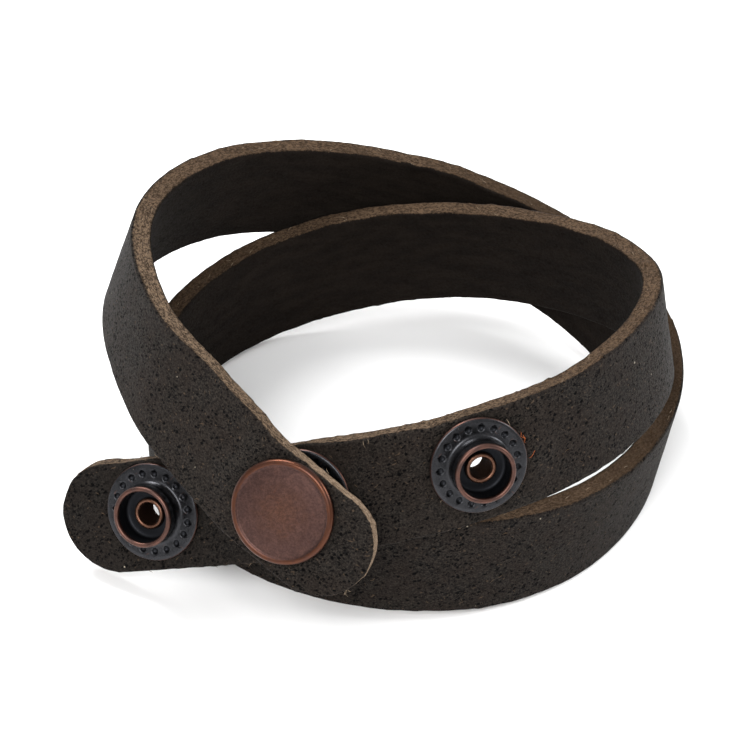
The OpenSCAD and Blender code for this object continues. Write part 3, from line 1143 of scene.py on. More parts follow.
def arc(centre: tuple[float, float], radius: float, start: float, stop: float, steps: int) -> Outline:
    """Points of an arc.

    Args:
        centre: distance from the axis and height of the arc's centre.
        radius: the arc's radius.
        start: first angle in degrees.
        stop: last angle in degrees.
        steps: number of steps from the first to the last.

    Returns:
        The arc's points, both ends included.
    """
    turns = [math.radians(start + (stop - start) * k / steps) for k in range(steps + 1)]
    return [(centre[0] + radius * math.cos(t), centre[1] + radius * math.sin(t)) for t in turns]


def line(start: tuple[float, float], stop: tuple[float, float], steps: int) -> Outline:
    """Points of a straight line, without its first point."""
    shares = [(k + 1) / steps for k in range(steps)]
    return [(start[0] + (stop[0] - start[0]) * t, start[1] + (stop[1] - start[1]) * t) for t in shares]


def spun(outline: Outline, steps: int, closed: bool) -> bmesh.types.BMesh:
    """Turns an outline round the Z axis.

    Args:
        outline: distance from the axis and height of each point, in order.
        steps: steps of the full turn.
        closed: whether the last point joins the first.

    Returns:
        The turned mesh in millimetres, with its normals outwards.
    """
    bm = bmesh.new()
    verts = [bm.verts.new((r, 0.0, z)) for r, z in outline]
    edges = [bm.edges.new(pair) for pair in zip(verts, verts[1:])]
    if closed:
        edges.append(bm.edges.new((verts[-1], verts[0])))
    bmesh.ops.spin(bm, geom=verts + edges, cent=(0, 0, 0), axis=(0, 0, 1), dvec=(0, 0, 0),
                   angle=math.tau, steps=steps, use_merge=True, use_normal_flip=False, use_duplicate=False)
    bmesh.ops.remove_doubles(bm, verts=bm.verts[:], dist=SAME_POINT)
    bmesh.ops.recalc_face_normals(bm, faces=bm.faces[:])
    return bm


def finish_piece(name: str, bm: bmesh.types.BMesh, material: bpy.types.Material,
                 nodes: tuple[str, ...]) -> bpy.types.Object:
    """Makes a mesh a finished piece that rides on the frame.

    Args:
        name: the piece's name.
        bm: its mesh, in metres and in place.
        material: its finish.
        nodes: the frame's nodes that it stands for.

    Returns:
        The new object.
    """
    for face in bm.faces:
        face.smooth = True
    mesh = bpy.data.meshes.new(name)
    bm.to_mesh(mesh)
    bm.free()
    mesh.materials.append(material)
    piece = bpy.data.objects.new(name, mesh)
    bpy.context.scene.collection.objects.link(piece)
    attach(piece, "root")
    if nodes:
        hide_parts(*nodes)
    LOG.info("%s: %d faces", name, len(mesh.polygons))
    return piece


def place_turned(bm: bmesh.types.BMesh, place: Place) -> None:
    """Notes each point's place on the turned piece, then moves the piece to its frame.

    Args:
        bm: the piece's mesh, in millimetres round the Z axis.
        place: its frame on the strap.
    """
    layer = bm.verts.layers.float_vector.new("turned")
    for vert in bm.verts:
        vert[layer] = vert.co
    bmesh.ops.transform(bm, matrix=place.matrix(), verts=bm.verts[:])


@dataclass(frozen=True)
class Ripple:
    """An unevenness of the leather: its paces per millimetre, its height in millimetres and its shift."""

    paces: Triple
    height: float
    shift: Triple = (0.0, 0.0, 0.0)
    above: float | None = None

    def at(self, x: float, y: float, z: float) -> float:
        """Height of the ripple at a place, where only what rises above a level counts if it has one.

        Args:
            x: length along the strap.
            y: distance across it.
            z: height from the middle of the leather.

        Returns:
            The height.
        """
        spot = [value * pace + shift for value, pace, shift in zip((x, y, z), self.paces, self.shift)]
        value = noise.noise(Vector(spot))
        return self.height * (value if self.above is None else max(0.0, value - self.above))


@dataclass(frozen=True)
class Strap:
    """The long leather strap, cut flat with its holes and bent to its worn shape."""

    sizes: StrapSizes
    snap: SnapSizes
    route: Route
    cells_along: int = 1000
    cells_across: int = 28
    hole_cells: int = 8
    edge_rows: int = 5
    bevel_steps: int = 3
    hole_rim: float = 0.3
    # Part of a cell that counts as none, and the angle in radians from which an edge is sharp.
    cell_play: float = 0.01
    sharp_angle: float = 1.0
    # Unevenness of the faces, of the cut edges, and of the strap's outline.
    face_ripples: tuple[Ripple, ...] = (
        Ripple((0.16, 0.30, 1.0), 0.05),
        Ripple((1.1, 1.3, 2.2), 0.015),
    )
    edge_ripples: tuple[Ripple, ...] = (
        Ripple((0.9, 1.0, 0.0), 0.05, (0.0, 0.0, 7.0)),
        Ripple((1.1, 1.3, 2.2), 0.05),
        Ripple((1.3, 0.4, 0.8), 0.35, (0.0, 0.0, 11.0), 0.30),
    )
    waves: tuple[Ripple, ...] = (
        Ripple((0.17, 3.0, 0.25), 0.21),
        Ripple((0.55, 3.0, 0.6), 0.08, (0.0, 9.0, 0.0)),
        Ripple((0.75, 5.0, 0.35), 0.45, (0.0, 21.0, 0.0), 0.42),
    )
    # Share of half the thickness from which a cut edge passes into a face, and how far in the waves reach.
    edge_share: float = 0.75
    wave_reach: float = 2.2
    # How the snaps press the leather flat: how far, over what length, and how their seats sink.
    press_reach: float = 6.5
    press_rim: float = 0.2
    press_ease: float = 4.0
    seat_rim: float = 0.05
    seat_ease: float = 0.55
    seat_play: float = 0.02

    def build(self, material: bpy.types.Material) -> bpy.types.Object:
        """Cuts, wears, bends and dresses the strap.

        Args:
            material: the leather.

        Returns:
            The finished piece.
        """
        bm = self.cut_flat()
        self.punch(bm)
        self.thicken(bm)
        self.wear(bm)
        self.lay_round(bm)
        return finish_piece("leather_strap", bm, material, ("strap",))

    def cut_flat(self) -> bmesh.types.BMesh:
        """Cuts the strap's face from a flat grid, with both ends rounded.

        Returns:
            The face, in millimetres.
        """
        bm = bmesh.new()
        size = Matrix.Diagonal((self.route.length, self.sizes.width, 1.0, 1.0))
        shift = Matrix.Translation((self.route.length / 2, 0.0, 0.0))
        bmesh.ops.create_grid(bm, x_segments=self.cells_along, y_segments=self.cells_across, size=0.5,
                              matrix=shift @ size)
        half_w = self.sizes.width / 2
        for vert in bm.verts:
            end = min(vert.co.x, self.route.length - vert.co.x)
            if end < half_w:
                x = half_w - end
                y = vert.co.y
                pull = max(x, abs(y)) / max(math.hypot(x, y), TINY)
                inside = half_w - x * pull
                vert.co.x = inside if vert.co.x < half_w else self.route.length - inside
                vert.co.y = y * pull
        return bm

    def hole_places(self) -> list[float]:
        """Lengths along the strap of its four punched holes."""
        return [self.sizes.stud_1_at, self.sizes.stud_2_at, self.sizes.stud_3_at, self.route.end_at]

    def punch(self, bm: bmesh.types.BMesh) -> None:
        """Punches the four round holes for the rivets.

        Args:
            bm: the flat face.
        """
        step_s = self.route.length / self.cells_along
        step_b = self.sizes.width / self.cells_across
        hole_r = self.snap.tube_r + self.snap.gap
        rim, reach = self.hole_cells / 2, float(self.hole_cells)
        for at in self.hole_places():
            s = round(at / step_s) * step_s
            b = round(self.sizes.snap_shift / step_b) * step_b
            inside = [f for f in bm.faces if abs(f.calc_center_median().x - s) < rim * step_s
                      and abs(f.calc_center_median().y - b) < rim * step_b]
            bmesh.ops.delete(bm, geom=inside, context="FACES")
            for vert in bm.verts:
                x, y = (vert.co.x - s) / step_s, (vert.co.y - b) / step_b
                ring = max(abs(x), abs(y))
                if ring < reach - self.cell_play:
                    share = (ring - rim) / (reach - rim)
                    radius = hole_r + share * (reach * (step_s + step_b) / 2 - hole_r)
                    turn = math.atan2(y, x)
                    vert.co.x += (1 - share) * (at + radius * math.cos(turn) - vert.co.x)
                    vert.co.y += (1 - share) * (self.sizes.snap_shift + radius * math.sin(turn) - vert.co.y)

    def thicken(self, bm: bmesh.types.BMesh) -> None:
        """Gives the face the leather's thickness and rounds its long corners.

        Args:
            bm: the flat face with its holes.
        """
        half_t = self.sizes.thickness / 2
        bm.normal_update()
        bmesh.ops.reverse_faces(bm, faces=[f for f in bm.faces if f.normal.z < 0])
        bmesh.ops.solidify(bm, geom=bm.faces[:], thickness=self.sizes.thickness)
        bmesh.ops.translate(bm, vec=(0.0, 0.0, half_t), verts=bm.verts[:])
        bm.normal_update()
        sharp = [e for e in bm.edges if len(e.link_faces) == 2 and e.calc_face_angle() > self.sharp_angle]
        outline = [e for e in sharp if not self.at_hole(e)]
        bmesh.ops.bevel(bm, geom=outline, offset=self.sizes.edge_wear, offset_type="OFFSET",
                        segments=self.bevel_steps, profile=0.5, affect="EDGES", clamp_overlap=False,
                        material=-1)
        upright = [e for e in bm.edges if abs(e.verts[0].co.z - e.verts[1].co.z) > half_t]
        bmesh.ops.subdivide_edges(bm, edges=upright, cuts=self.edge_rows, use_grid_fill=True)
        bmesh.ops.recalc_face_normals(bm, faces=bm.faces[:])

    def at_hole(self, edge: bmesh.types.BMEdge) -> bool:
        """Whether an edge belongs to a punched hole.

        Args:
            edge: an edge of the flat strap.

        Returns:
            True if its middle is near a hole.
        """
        mid = (edge.verts[0].co + edge.verts[1].co) / 2
        near = self.snap.tube_r + self.hole_rim
        return any(math.hypot(mid.x - at, mid.y - self.sizes.snap_shift) < near for at in self.hole_places())

    def wear(self, bm: bmesh.types.BMesh) -> None:
        """Roughens the cut edges and makes the faces slightly uneven.

        Args:
            bm: the flat strap.
        """
        bm.normal_update()
        moves = [self.wear_at(vert.co, vert.normal) for vert in bm.verts]
        layer = bm.verts.layers.float_vector.new("laid_flat")
        for vert, move in zip(bm.verts, moves):
            vert[layer] = vert.co
            vert.co += move

    def wear_at(self, p: Vector, normal: Vector) -> Vector:
        """Works out the wear of one point.

        Args:
            p: the point of the flat strap.
            normal: the surface's direction there.

        Returns:
            The way that wear moves it.
        """
        half_t = self.sizes.thickness / 2
        half_w = self.sizes.width / 2
        over_edge = (abs(p.z) - self.edge_share * half_t) / ((1 - self.edge_share) * half_t)
        edge = 1.0 - min(1.0, max(0.0, over_edge))
        face_lift = sum(ripple.at(*p) for ripple in self.face_ripples)
        edge_lift = sum(ripple.at(*p) for ripple in self.edge_ripples)
        over = min(p.x, self.route.length - p.x) - half_w
        side = Vector((math.copysign(over, p.x - half_w) if over < 0 else 0.0, p.y, 0.0))
        reach = side.length
        side = side / reach if reach > TINY else Vector((0.0, 0.0, 0.0))
        lower = 1.0 if p.y < 0 else 0.0
        wave = sum(ripple.at(p.x, lower, p.z) for ripple in self.waves)
        wave = min(wave, 0.0) if lower else wave
        near = min(1.0, max(0.0, 1.0 - (half_w - reach) / self.wave_reach))
        return normal * (face_lift * (1 - edge) + edge_lift * edge) + side * wave * near * near

    def lay_round(self, bm: bmesh.types.BMesh) -> None:
        """Bends the flat strap to its worn shape and presses the snaps into it.

        Args:
            bm: the flat strap.
        """
        flat = np.array([v.co[:] for v in bm.verts])
        worn = self.route.bend(flat)
        snap = self.snap
        for place, at in zip(self.route.studs, self.hole_places()):
            worn = self.press(flat, worn, place, at, snap.flange_d / 2, snap.back_d / 2)
        worn = self.press(flat, worn, self.route.end, self.route.end_at, snap.cap_d / 2, snap.socket_r)
        for vert, place in zip(bm.verts, worn * MM):
            vert.co = place

    def press(self, flat: np.ndarray, worn: np.ndarray, place: Place, at: float, out_r: float,
              in_r: float) -> np.ndarray:
        """Flattens the leather under a snap and sinks the metal's seats into both faces.

        Args:
            flat: points of the flat strap.
            worn: the same points on the worn strap.
            place: frame of the snap.
            at: its length along the strap.
            out_r: radius of the metal on the finished face.
            in_r: radius of the metal on the flesh side.

        Returns:
            The worn points with the snap's seats.
        """
        near = np.abs(flat[:, 0] - at) < out_r + self.press_reach
        axes = np.stack([place.along, place.across, place.out], axis=1)
        local = (worn[near] - place.point) @ axes
        radius = np.hypot(local[:, 0], local[:, 1])
        half_t = self.sizes.thickness / 2
        share = flat[near, 2] / half_t
        seat_r = np.where(share > 0, out_r, in_r)
        seat = np.where(share > 0, self.snap.seat_out, self.snap.seat_in) - self.seat_play
        sunk = 1 - smooth_step((radius - seat_r - self.seat_rim) / self.seat_ease)
        target = share * (half_t - seat * sunk)
        weight = 1 - smooth_step((radius - out_r - self.press_rim) / self.press_ease)
        local[:, 2] += weight * (target - local[:, 2])
        result = worn.copy()
        result[near] = place.point + local @ axes.T
        return result


@dataclass(frozen=True)
class LooseFibres:
    """Thin fibres that stand off the cut edges, and a few stray ones on the finished face."""

    sizes: StrapSizes
    route: Route
    radius: float = 0.028
    steps: int = 9
    sides: int = 5
    rim_count: int = 150
    end_free: float = 8.0
    rooted: float = 0.05
    upper_share: float = 0.7
    seed: int = 7
    # Least and most angle from the rim, then least and most height, length, rise and bow.
    headings: Span = (0.1, 0.7)
    limits: tuple[Span, ...] = ((-1.0, 1.0), (0.4, 0.95), (-0.15, 0.2), (-0.5, 0.3))
    root_taper: float = 4.0
    tip_taper: float = 2.5
    half_step: float = 0.02
    least_height: float = 0.04
    weld: float = 1e-4

    def at_rims(self) -> list[Fibre]:
        """Scatters short fibres along both cut edges.

        Returns:
            The fibres.
        """
        rng = np.random.default_rng(self.seed)
        half_w = self.sizes.width / 2
        fibres = []
        for along in rng.uniform(self.end_free, self.route.length - self.end_free, self.rim_count):
            side = 1.0 if rng.random() < self.upper_share else -1.0
            heading = side * rng.uniform(*self.headings) + (math.pi if rng.random() < 0.5 else 0.0)
            if math.sin(heading) * side < 0:
                heading = -heading
            height, length, rise, bow = (float(rng.uniform(*limits)) for limits in self.limits)
            across = side * (half_w - self.rooted)
            fibres.append(Fibre(float(along), across, height, heading, length, rise, bow))
        return fibres

    def build(self, name: str, fibres: list[Fibre], material: bpy.types.Material) -> bpy.types.Object:
        """Makes each fibre a thin tapered tube and bends it with the strap.

        Args:
            name: the piece's name.
            fibres: the fibres.
            material: their finish.

        Returns:
            The finished piece.
        """
        bm = bmesh.new()
        for fibre in fibres:
            grid = bmesh.ops.create_grid(bm, x_segments=self.steps, y_segments=self.sides, size=0.5)
            for vert in grid["verts"]:
                t = vert.co.x + 0.5
                turn = (vert.co.y + 0.5) * math.tau
                way = (fibre.at(t + self.half_step) - fibre.at(t - self.half_step)).normalized()
                aside = way.cross(Vector((0.0, 0.0, 1.0))).normalized()
                thick = self.radius * min(1.0, self.root_taper * t, self.tip_taper * (1 - t))
                vert.co = fibre.at(t) + thick * (math.cos(turn) * aside + math.sin(turn) * aside.cross(way))
        bmesh.ops.remove_doubles(bm, verts=bm.verts[:], dist=self.weld)
        bmesh.ops.recalc_face_normals(bm, faces=bm.faces[:])
        layer = bm.verts.layers.float_vector.new("laid_flat")
        worn = self.route.bend(np.array([v.co[:] for v in bm.verts]))
        worn[:, 2] = np.maximum(worn[:, 2], self.least_height)
        for vert, place in zip(bm.verts, worn * MM):
            vert[layer] = vert.co
            vert.co = place
        return finish_piece(name, bm, material, ())


@dataclass(frozen=True)
class Turned:
    """A piece turned round a snap's axis."""

    sizes: SnapSizes
    half_t: float
    finish: PlatedFinish
    slot: Slot
    steps: int
    closed: bool = True

    @property
    def seat(self) -> float:
        """Height of the seat in the finished face, from the middle of the leather."""
        return self.half_t - self.sizes.seat_out + self.sizes.gap

    @property
    def back(self) -> float:
        """Height of the seat in the flesh side, from the middle of the leather."""
        return -self.half_t + self.sizes.seat_in - self.sizes.gap

    def foot(self) -> float:
        """Height at which the outline starts to count, from the middle of the leather."""
        return 0.0

    def turn_steps(self) -> int:
        """Steps of the full turn."""
        return self.steps

    def outline(self) -> Outline:
        """Section of the piece: distance from the axis and height of each point."""
        raise NotImplementedError

    def worn(self) -> list[Band]:
        """Parts of the piece that are worn to copper."""
        return []

    def grime_and_shade(self) -> GrimeAndShade:
        """Parts of the piece that are darkened: grime, and painted shade down a bore."""
        return GrimeAndShade()

    def sink(self, bm: bmesh.types.BMesh) -> None:
        """Sinks what can't be turned, which most pieces don't have."""

    def dress(self, effects: Effects) -> bpy.types.Material:
        """Makes the piece's material, with its worn parts and its parts darkened by grime and painted shade.
        """
        return self.finish.build(effects, self.worn(), self.grime_and_shade())

    def build(self, name: str, node: str, place: Place, material: bpy.types.Material) -> bpy.types.Object:
        """Turns the piece and sets it in its place.

        Args:
            name: the piece's name.
            node: the frame's node that it stands for.
            place: frame of the snap on the strap.
            material: its finish.

        Returns:
            The finished piece.
        """
        bm = spun(self.outline(), self.turn_steps(), self.closed)
        self.sink(bm)
        place_turned(bm, place.raised(0.0, self.foot()))
        return finish_piece(name, bm, material, (node,))


@dataclass(frozen=True)
class Stud(Turned):
    """A turned stud: flange with a ring of pits, waisted knob with a rolled rim, and a hollow."""

    finish: PlatedFinish = GUNMETAL
    slot: Slot = Slot.GUNMETAL
    steps: int = 20
    # The neck: distance out from its own radius and height over the flange.
    neck: tuple[tuple[float, float], ...] = (
        (0.64, 0.005), (0.56, 0.02), (0.48, 0.05), (0.40, 0.10), (0.32, 0.18),
        (0.24, 0.29), (0.16, 0.44), (0.10, 0.62), (0.07, 0.86), (0.10, 1.1),
    )
    # The knob's side: distance out from its own radius and height over the flange.
    side: tuple[tuple[float, float], ...] = ((-0.10, 1.34), (-0.01, 1.56), (0.0, 1.8))
    fillet: float = 0.4
    pit_edge: float = 0.02
    # How far the wear reaches past the rim's bead and the flange's edge, and the grime past the pits.
    rim_margin: Band = Band(-0.15, 0.2, -0.12, 0.2)
    edge_margin: Band = Band(-0.10, 0.2, 0.08, -0.07)
    pit_margin: Band = Band(-0.45, 0.45, -0.15, -0.03)
    # Grime in the knob's hollow: how far it reaches past the hollow and below the bead, and how much rougher
    # it is.
    grime_and_shade_out: float = 0.1
    grime_down: float = 0.3
    grime_and_shade_dull: float = 0.22

    @property
    def top(self) -> float:
        """Height of the knob's top over the stud's foot."""
        return self.sizes.flange_t + self.sizes.knob_h

    @property
    def bead_at(self) -> float:
        """Height of the middle of the knob's rolled rim over the stud's foot."""
        return self.top - self.sizes.bead_r

    @property
    def hollow_r(self) -> float:
        """Radius of the knob's hollow."""
        return self.sizes.knob_d / 2 - 2 * self.sizes.bead_r

    def foot(self) -> float:
        """Height of the stud's foot, from the middle of the leather."""
        return self.seat

    def turn_steps(self) -> int:
        """Steps of the full turn, the same number for each pit."""
        return self.sizes.pit_count * self.steps

    def outline(self) -> Outline:
        """Section of the stud, from the hole round the flange, knob and hollow.

        Returns:
            Distance from the axis and height over the stud's foot of each point.
        """
        s = self.sizes
        hole = s.tube_r + s.gap
        round_t = s.flange_t / 2
        rim_at = s.flange_d / 2 - round_t
        knob_r = s.knob_d / 2
        neck_r = knob_r - s.neck_in
        inner_r = self.hollow_r
        floor = s.flange_t + s.floor_h
        pit_out = s.pit_ring_d / 2 + s.pit_r
        pit_in = s.pit_ring_d / 2 - s.pit_r
        knob = [(knob_r + out, s.flange_t + up) for out, up in self.side]
        return [
            (hole, 0.0),
            *line((hole, 0.0), (rim_at, 0.0), 4),
            *arc((rim_at, round_t), round_t, -78, 78, 8),
            *line((rim_at, s.flange_t), (pit_out, s.flange_t), 2),
            *line((pit_out, s.flange_t), (pit_in, s.flange_t), 15),
            *[(neck_r + out, s.flange_t + up) for out, up in self.neck],
            *knob,
            *line(knob[-1], (knob_r, self.bead_at), 3),
            *arc((knob_r - s.bead_r, self.bead_at), s.bead_r, 12, 168, 10),
            *line((inner_r, self.bead_at), (inner_r, floor + self.fillet), 6),
            *arc((inner_r - self.fillet, floor + self.fillet), self.fillet, -10, -80, 5),
            *line((inner_r - self.fillet, floor), (hole, floor), 4),
            *line((hole, floor), (hole, 0.0), 4)[:-1],
        ]

    def worn(self) -> list[Band]:
        """Finds the parts that are worn to copper.

        Returns:
            The knob's rolled rim and the flange's edge.
        """
        flange_r = self.sizes.flange_d / 2
        rim = Band(self.hollow_r, self.sizes.knob_d / 2, self.bead_at, self.top)
        edge = Band(flange_r, flange_r, 0.0, self.sizes.flange_t)
        return [rim.grown(self.rim_margin), edge.grown(self.edge_margin)]

    def grime_and_shade(self) -> GrimeAndShade:
        """Finds the parts that hold grime.

        Returns:
            The hollow and the ring of pits.
        """
        pit_at, top = self.sizes.pit_ring_d / 2, self.sizes.flange_t
        pits = Band(pit_at, pit_at, top, top).grown(self.pit_margin)
        return GrimeAndShade(self.hollow_r + self.grime_and_shade_out, self.bead_at - self.grime_down, self.grime_and_shade_dull, pits)

    def sink(self, bm: bmesh.types.BMesh) -> None:
        """Sinks the ring of pits into the flange.

        Args:
            bm: the turned mesh.
        """
        s = self.sizes
        pit_at = s.pit_ring_d / 2
        pit_z = s.flange_t + s.pit_lift
        for vert in bm.verts:
            radius = math.hypot(vert.co.x, vert.co.y)
            if abs(radius - pit_at) > s.pit_r or vert.co.z < s.flange_t - self.pit_edge:
                continue
            turn = math.atan2(vert.co.y, vert.co.x) * s.pit_count / math.tau
            off = (turn - round(turn)) * math.tau / s.pit_count * pit_at
            away = math.hypot(radius - pit_at, off)
            if away < s.pit_r:
                vert.co.z = min(vert.co.z, pit_z - math.sqrt(s.pit_r**2 - away**2))


@dataclass(frozen=True)
class Eyelet(Turned):
    """A rivet tube: flat flange at the back of the leather, tube, and a roll inside the knob."""

    finish: PlatedFinish = EYELET_COPPER
    slot: Slot = Slot.EYELET
    steps: int = 96
    mouth: float = 0.08
    # Painted shade down the bore: how far past the bore and over the roll's middle it reaches, and how much
    # rougher it is.
    grime_and_shade_out: float = 0.07
    bore_shade_up: float = 0.02
    grime_and_shade_dull: float = 0.60

    @property
    def roll_at(self) -> float:
        """Height of the roll's middle, from the middle of the leather."""
        return self.seat + self.sizes.flange_t + self.sizes.floor_h + self.sizes.gap + self.sizes.roll_r

    def outline(self) -> Outline:
        """Section of the eyelet, from its mouth at the back round the flange, tube and roll.

        Returns:
            Distance from the axis and height from the middle of the leather of each point.
        """
        s = self.sizes
        bore = s.bore_d / 2
        round_t = s.back_t / 2
        low = self.back - s.back_t
        rim_at = s.back_d / 2 - round_t
        return [
            (bore + self.mouth, low),
            *line((bore + self.mouth, low), (rim_at, low), 4),
            *arc((rim_at, self.back - round_t), round_t, -75, 75, 6),
            *line((rim_at, self.back), (s.tube_r, self.back), 3),
            *line((s.tube_r, self.back), (s.tube_r, self.roll_at - s.roll_r), 6),
            *arc((bore + s.roll_r, self.roll_at), s.roll_r, -60, 180, 14),
            *line((bore, self.roll_at), (bore, low + self.mouth), 8),
        ]

    def grime_and_shade(self) -> GrimeAndShade:
        """The bore below the roll, painted near black as painted shade."""
        return GrimeAndShade(self.sizes.bore_d / 2 + self.grime_and_shade_out, self.roll_at + self.bore_shade_up, self.grime_and_shade_dull)


@dataclass(frozen=True)
class Cap(Turned):
    """The cap with its rolled rim, slightly domed top and the post that holds the socket."""

    finish: PlatedFinish = ANTIQUE_COPPER
    slot: Slot = Slot.COPPER
    steps: int = 160
    closed: bool = False
    rim: float = 0.45
    crown_in: float = 0.12
    valley: float = 0.03
    dome_steps: int = 24
    dome_power: float = 2.2
    skirt: float = 0.12
    skirt_top: float = 0.08
    upset_out: float = 0.5
    upset_t: float = 0.3
    worn_in: float = 0.62
    worn_up: float = 2.0

    def outline(self) -> Outline:
        """Section of the cap, from the middle of its top over the rim and down the post.

        Returns:
            Distance from the axis and height from the middle of the leather of each point.
        """
        s = self.sizes
        cap_r = s.cap_d / 2
        skirt_r = cap_r - self.skirt
        top = self.half_t + s.cap_rim_h
        crown = top - self.crown_in
        upset = self.back - s.gap - s.plate_t
        upset_r = s.tube_r + self.upset_out
        flat_r = cap_r - 2 * self.rim + self.crown_in
        shares = [k / self.dome_steps for k in range(1, self.dome_steps + 1)]
        rise = s.cap_dome + self.valley
        return [
            (0.0, crown + s.cap_dome),
            *[(flat_r * t, crown - self.valley + rise * (1 - t**self.dome_power)) for t in shares],
            *arc((cap_r - self.rim, top - self.rim), self.rim, 128, -38, 18),
            (cap_r - self.skirt_top, self.seat + self.skirt),
            (skirt_r, self.seat),
            *line((skirt_r, self.seat), (s.tube_r, self.seat), 4),
            *line((s.tube_r, self.seat), (s.tube_r, upset), 4),
            (upset_r, upset),
            (upset_r, upset - self.upset_t),
            (0.0, upset - self.upset_t),
        ]

    def worn(self) -> list[Band]:
        """The rolled rim, which is worn bright."""
        return [Band(self.sizes.cap_d / 2 - self.worn_in, self.sizes.cap_d, 0.0, self.half_t + self.worn_up)]


@dataclass(frozen=True)
class Socket(Turned):
    """The socket under the closing end: a plate, and a ring with a rolled lip round the knob."""

    finish: PlatedFinish = GUNMETAL
    slot: Slot = Slot.GUNMETAL
    steps: int = 128
    play: float = 0.1
    plate_in: float = 0.12
    plate_round: float = 0.15
    step_out: float = 0.05
    step_h: float = 0.14
    step_in: float = 0.02
    wall: float = 0.4
    lip_r: float = 0.4
    lip_h: float = 0.3
    lip_low: float = 0.38
    lip_out: float = 0.08
    short: float = 0.7

    def outline(self) -> Outline:
        """Section of the socket, from its hole round the plate, ring and lip.

        Returns:
            Distance from the axis and height from the middle of the leather of each point.
        """
        s = self.sizes
        hole = s.tube_r + s.gap
        ring_r = s.knob_d / 2 + self.play
        outer_r = s.socket_r
        wall_r = outer_r - self.wall
        under = self.back - s.plate_t
        step = under - self.step_h
        lip = under - (s.knob_h - self.short) + self.lip_r
        return [
            (hole, self.back),
            *line((hole, self.back), (outer_r - self.plate_in, self.back), 4),
            *arc((outer_r - self.plate_round, self.back - self.plate_round), self.plate_round, 80, 0, 5),
            (outer_r - self.step_out, under),
            (wall_r + self.step_in, step),
            *line((wall_r, step), (wall_r, lip + self.lip_h), 4),
            *arc((wall_r - self.lip_r, lip), self.lip_r, 40, -90, 10),
            (ring_r + self.lip_out, lip - self.lip_low),
            (ring_r, lip - self.lip_h),
            *line((ring_r, lip - self.lip_h), (ring_r, under - self.step_in), 5),
            *line((ring_r, under), (hole, under), 4),
        ]


@dataclass(frozen=True)
class Camera:
    """The photograph's viewpoint, worked out from the strap's outline, with its place in millimetres."""

    place: Triple = (-16.921, -510.621, 460.622)
    forward: Triple = (0.024403, 0.753327, -0.657193)
    right: Triple = (0.999315, -0.0000925, 0.037000)
    lens: float = 285.86
    sensor: float = 36.0
    clip_start: float = 0.01
    clip_end: float = 20.0

    def build(self) -> None:
        """Makes the camera and gives it to the scene."""
        data = bpy.data.cameras.new("photo_camera")
        data.lens = self.lens
        data.sensor_width = self.sensor
        data.clip_start = self.clip_start
        data.clip_end = self.clip_end
        forward = Vector(self.forward).normalized()
        right = Vector(self.right)
        right = (right - right.dot(forward) * forward).normalized()
        up = right.cross(forward)
        turn = Matrix((right, up, -forward)).transposed().to_4x4()
        camera = bpy.data.objects.new("photo_camera", data)
        camera.matrix_world = Matrix.Translation(Vector(self.place) * MM) @ turn
        bpy.context.scene.collection.objects.link(camera)
        bpy.context.scene.camera = camera


@dataclass(frozen=True)
class Lamp:
    """One soft studio light, turned towards the object, in metres and watts."""

    name: str
    place: Triple
    size: float
    power: float
    colour: Triple = (1.0, 1.0, 1.0)

    def build(self) -> None:
        """Makes the light."""
        data = bpy.data.lights.new(self.name, "AREA")
        data.shape = "DISK"
        data.size = self.size
        data.energy = self.power
        data.color = self.colour
        light = bpy.data.objects.new(self.name, data)
        light.location = self.place
        light.rotation_euler = (-Vector(self.place)).to_track_quat("-Z", "Y").to_euler()
        bpy.context.scene.collection.objects.link(light)


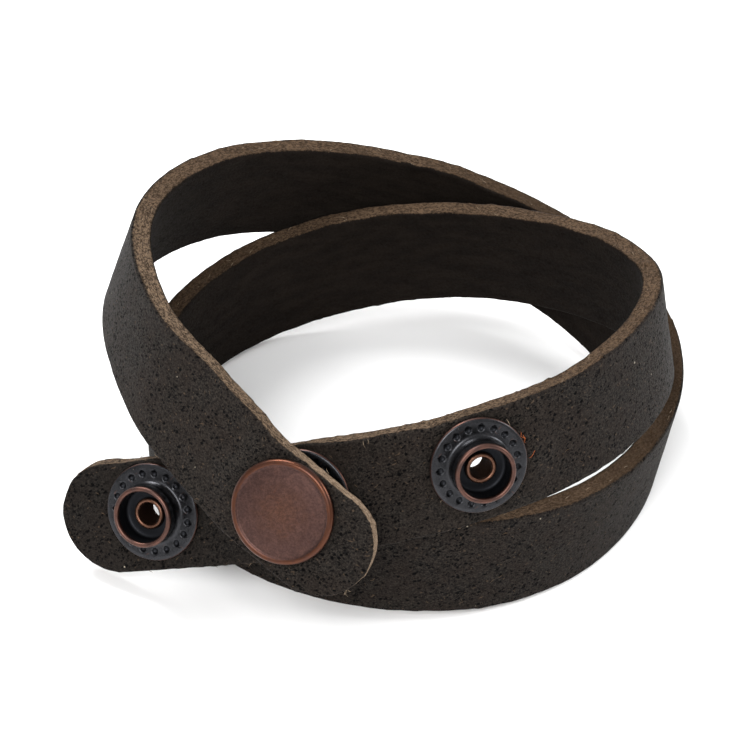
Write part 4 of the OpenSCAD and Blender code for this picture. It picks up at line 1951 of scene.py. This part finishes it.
@dataclass(frozen=True)
class Studio:
    """Plain pale floor, pale surroundings and soft lights, in metres and watts."""

    floor_size: float = 6.0
    floor_colour: Colour = (0.95, 0.95, 0.95, 1.0)
    floor_roughness: float = 0.9
    floor_specular: float = 0.1
    sky_colour: Colour = (1.0, 1.0, 1.0, 1.0)
    sky: float = 0.70
    lamps: tuple[Lamp, ...] = (
        Lamp("key_light", (-0.40, 0.45, 0.90), 0.50, 12.0),
        Lamp("front_light", (-0.25, -0.80, 0.75), 0.60, 11.0),
        Lamp("side_light", (0.85, 0.05, 0.50), 0.40, 6.0),
    )

    def build(self) -> None:
        """Makes the floor, the surroundings and the lights."""
        self.lay_floor()
        self.surround()
        for lamp in self.lamps:
            lamp.build()

    def lay_floor(self) -> None:
        """Makes the pale floor, which isn't part of the object."""
        bm = bmesh.new()
        bmesh.ops.create_grid(bm, x_segments=1, y_segments=1, size=self.floor_size / 2)
        mesh = bpy.data.meshes.new("floor")
        bm.to_mesh(mesh)
        bm.free()
        material, _, shader = start_material("pale_floor")
        shader.inputs["Base Color"].default_value = self.floor_colour
        shader.inputs["Roughness"].default_value = self.floor_roughness
        shader.inputs["Specular IOR Level"].default_value = self.floor_specular
        mesh.materials.append(material)
        floor = bpy.data.objects.new("floor", mesh)
        bpy.context.scene.collection.objects.link(floor)

    def surround(self) -> None:
        """Makes the pale surroundings and sets how the picture's colours are shown."""
        world = bpy.data.worlds.new("studio")
        world.use_nodes = True
        background = world.node_tree.nodes["Background"]
        background.inputs["Color"].default_value = self.sky_colour
        background.inputs["Strength"].default_value = self.sky
        bpy.context.scene.world = world
        bpy.context.scene.view_settings.view_transform = "Standard"


def main() -> None:
    """Builds every piece in order and reports through the log."""
    logging.basicConfig(level=logging.INFO, format="%(message)s")
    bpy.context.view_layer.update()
    Camera().build()
    Studio().build()
    strap_sizes = StrapSizes()
    snap = SnapSizes()
    half_t = strap_sizes.thickness / 2
    route = Route(strap_sizes, snap)
    LOG.info("strap length %.1f mm, home %s", route.length, route.home.round(3))
    effects = Effects()
    Strap(strap_sizes, snap, route).build(LeatherFinish(half_t).build(effects))
    fibres = LooseFibres(strap_sizes, route)
    fibres.build("tan_fibres", fibres.at_rims() + STRAY_TAN, TAN_FIBRE.build(effects))
    fibres.build("rust_fibres", STRAY_RUST, RUST_FIBRE.build(effects))
    stud = Stud(snap, half_t)
    eyelet = Eyelet(snap, half_t)
    cap = Cap(snap, half_t)
    gunmetal = stud.dress(effects)
    eyelet_copper = eyelet.dress(effects)
    for number, place in enumerate(route.studs, start=1):
        stud.build(f"snap_stud_{number}", f"stud_{number}", place, gunmetal)
        eyelet.build(f"rivet_eyelet_{number}", f"eyelet_{number}", place, eyelet_copper)
    cap.build("copper_cap", "snap_cap", route.end, cap.dress(effects))
    Socket(snap, half_t).build("snap_ring_socket", "snap_socket", route.end, gunmetal)


if __name__ == "__main__":
    main()
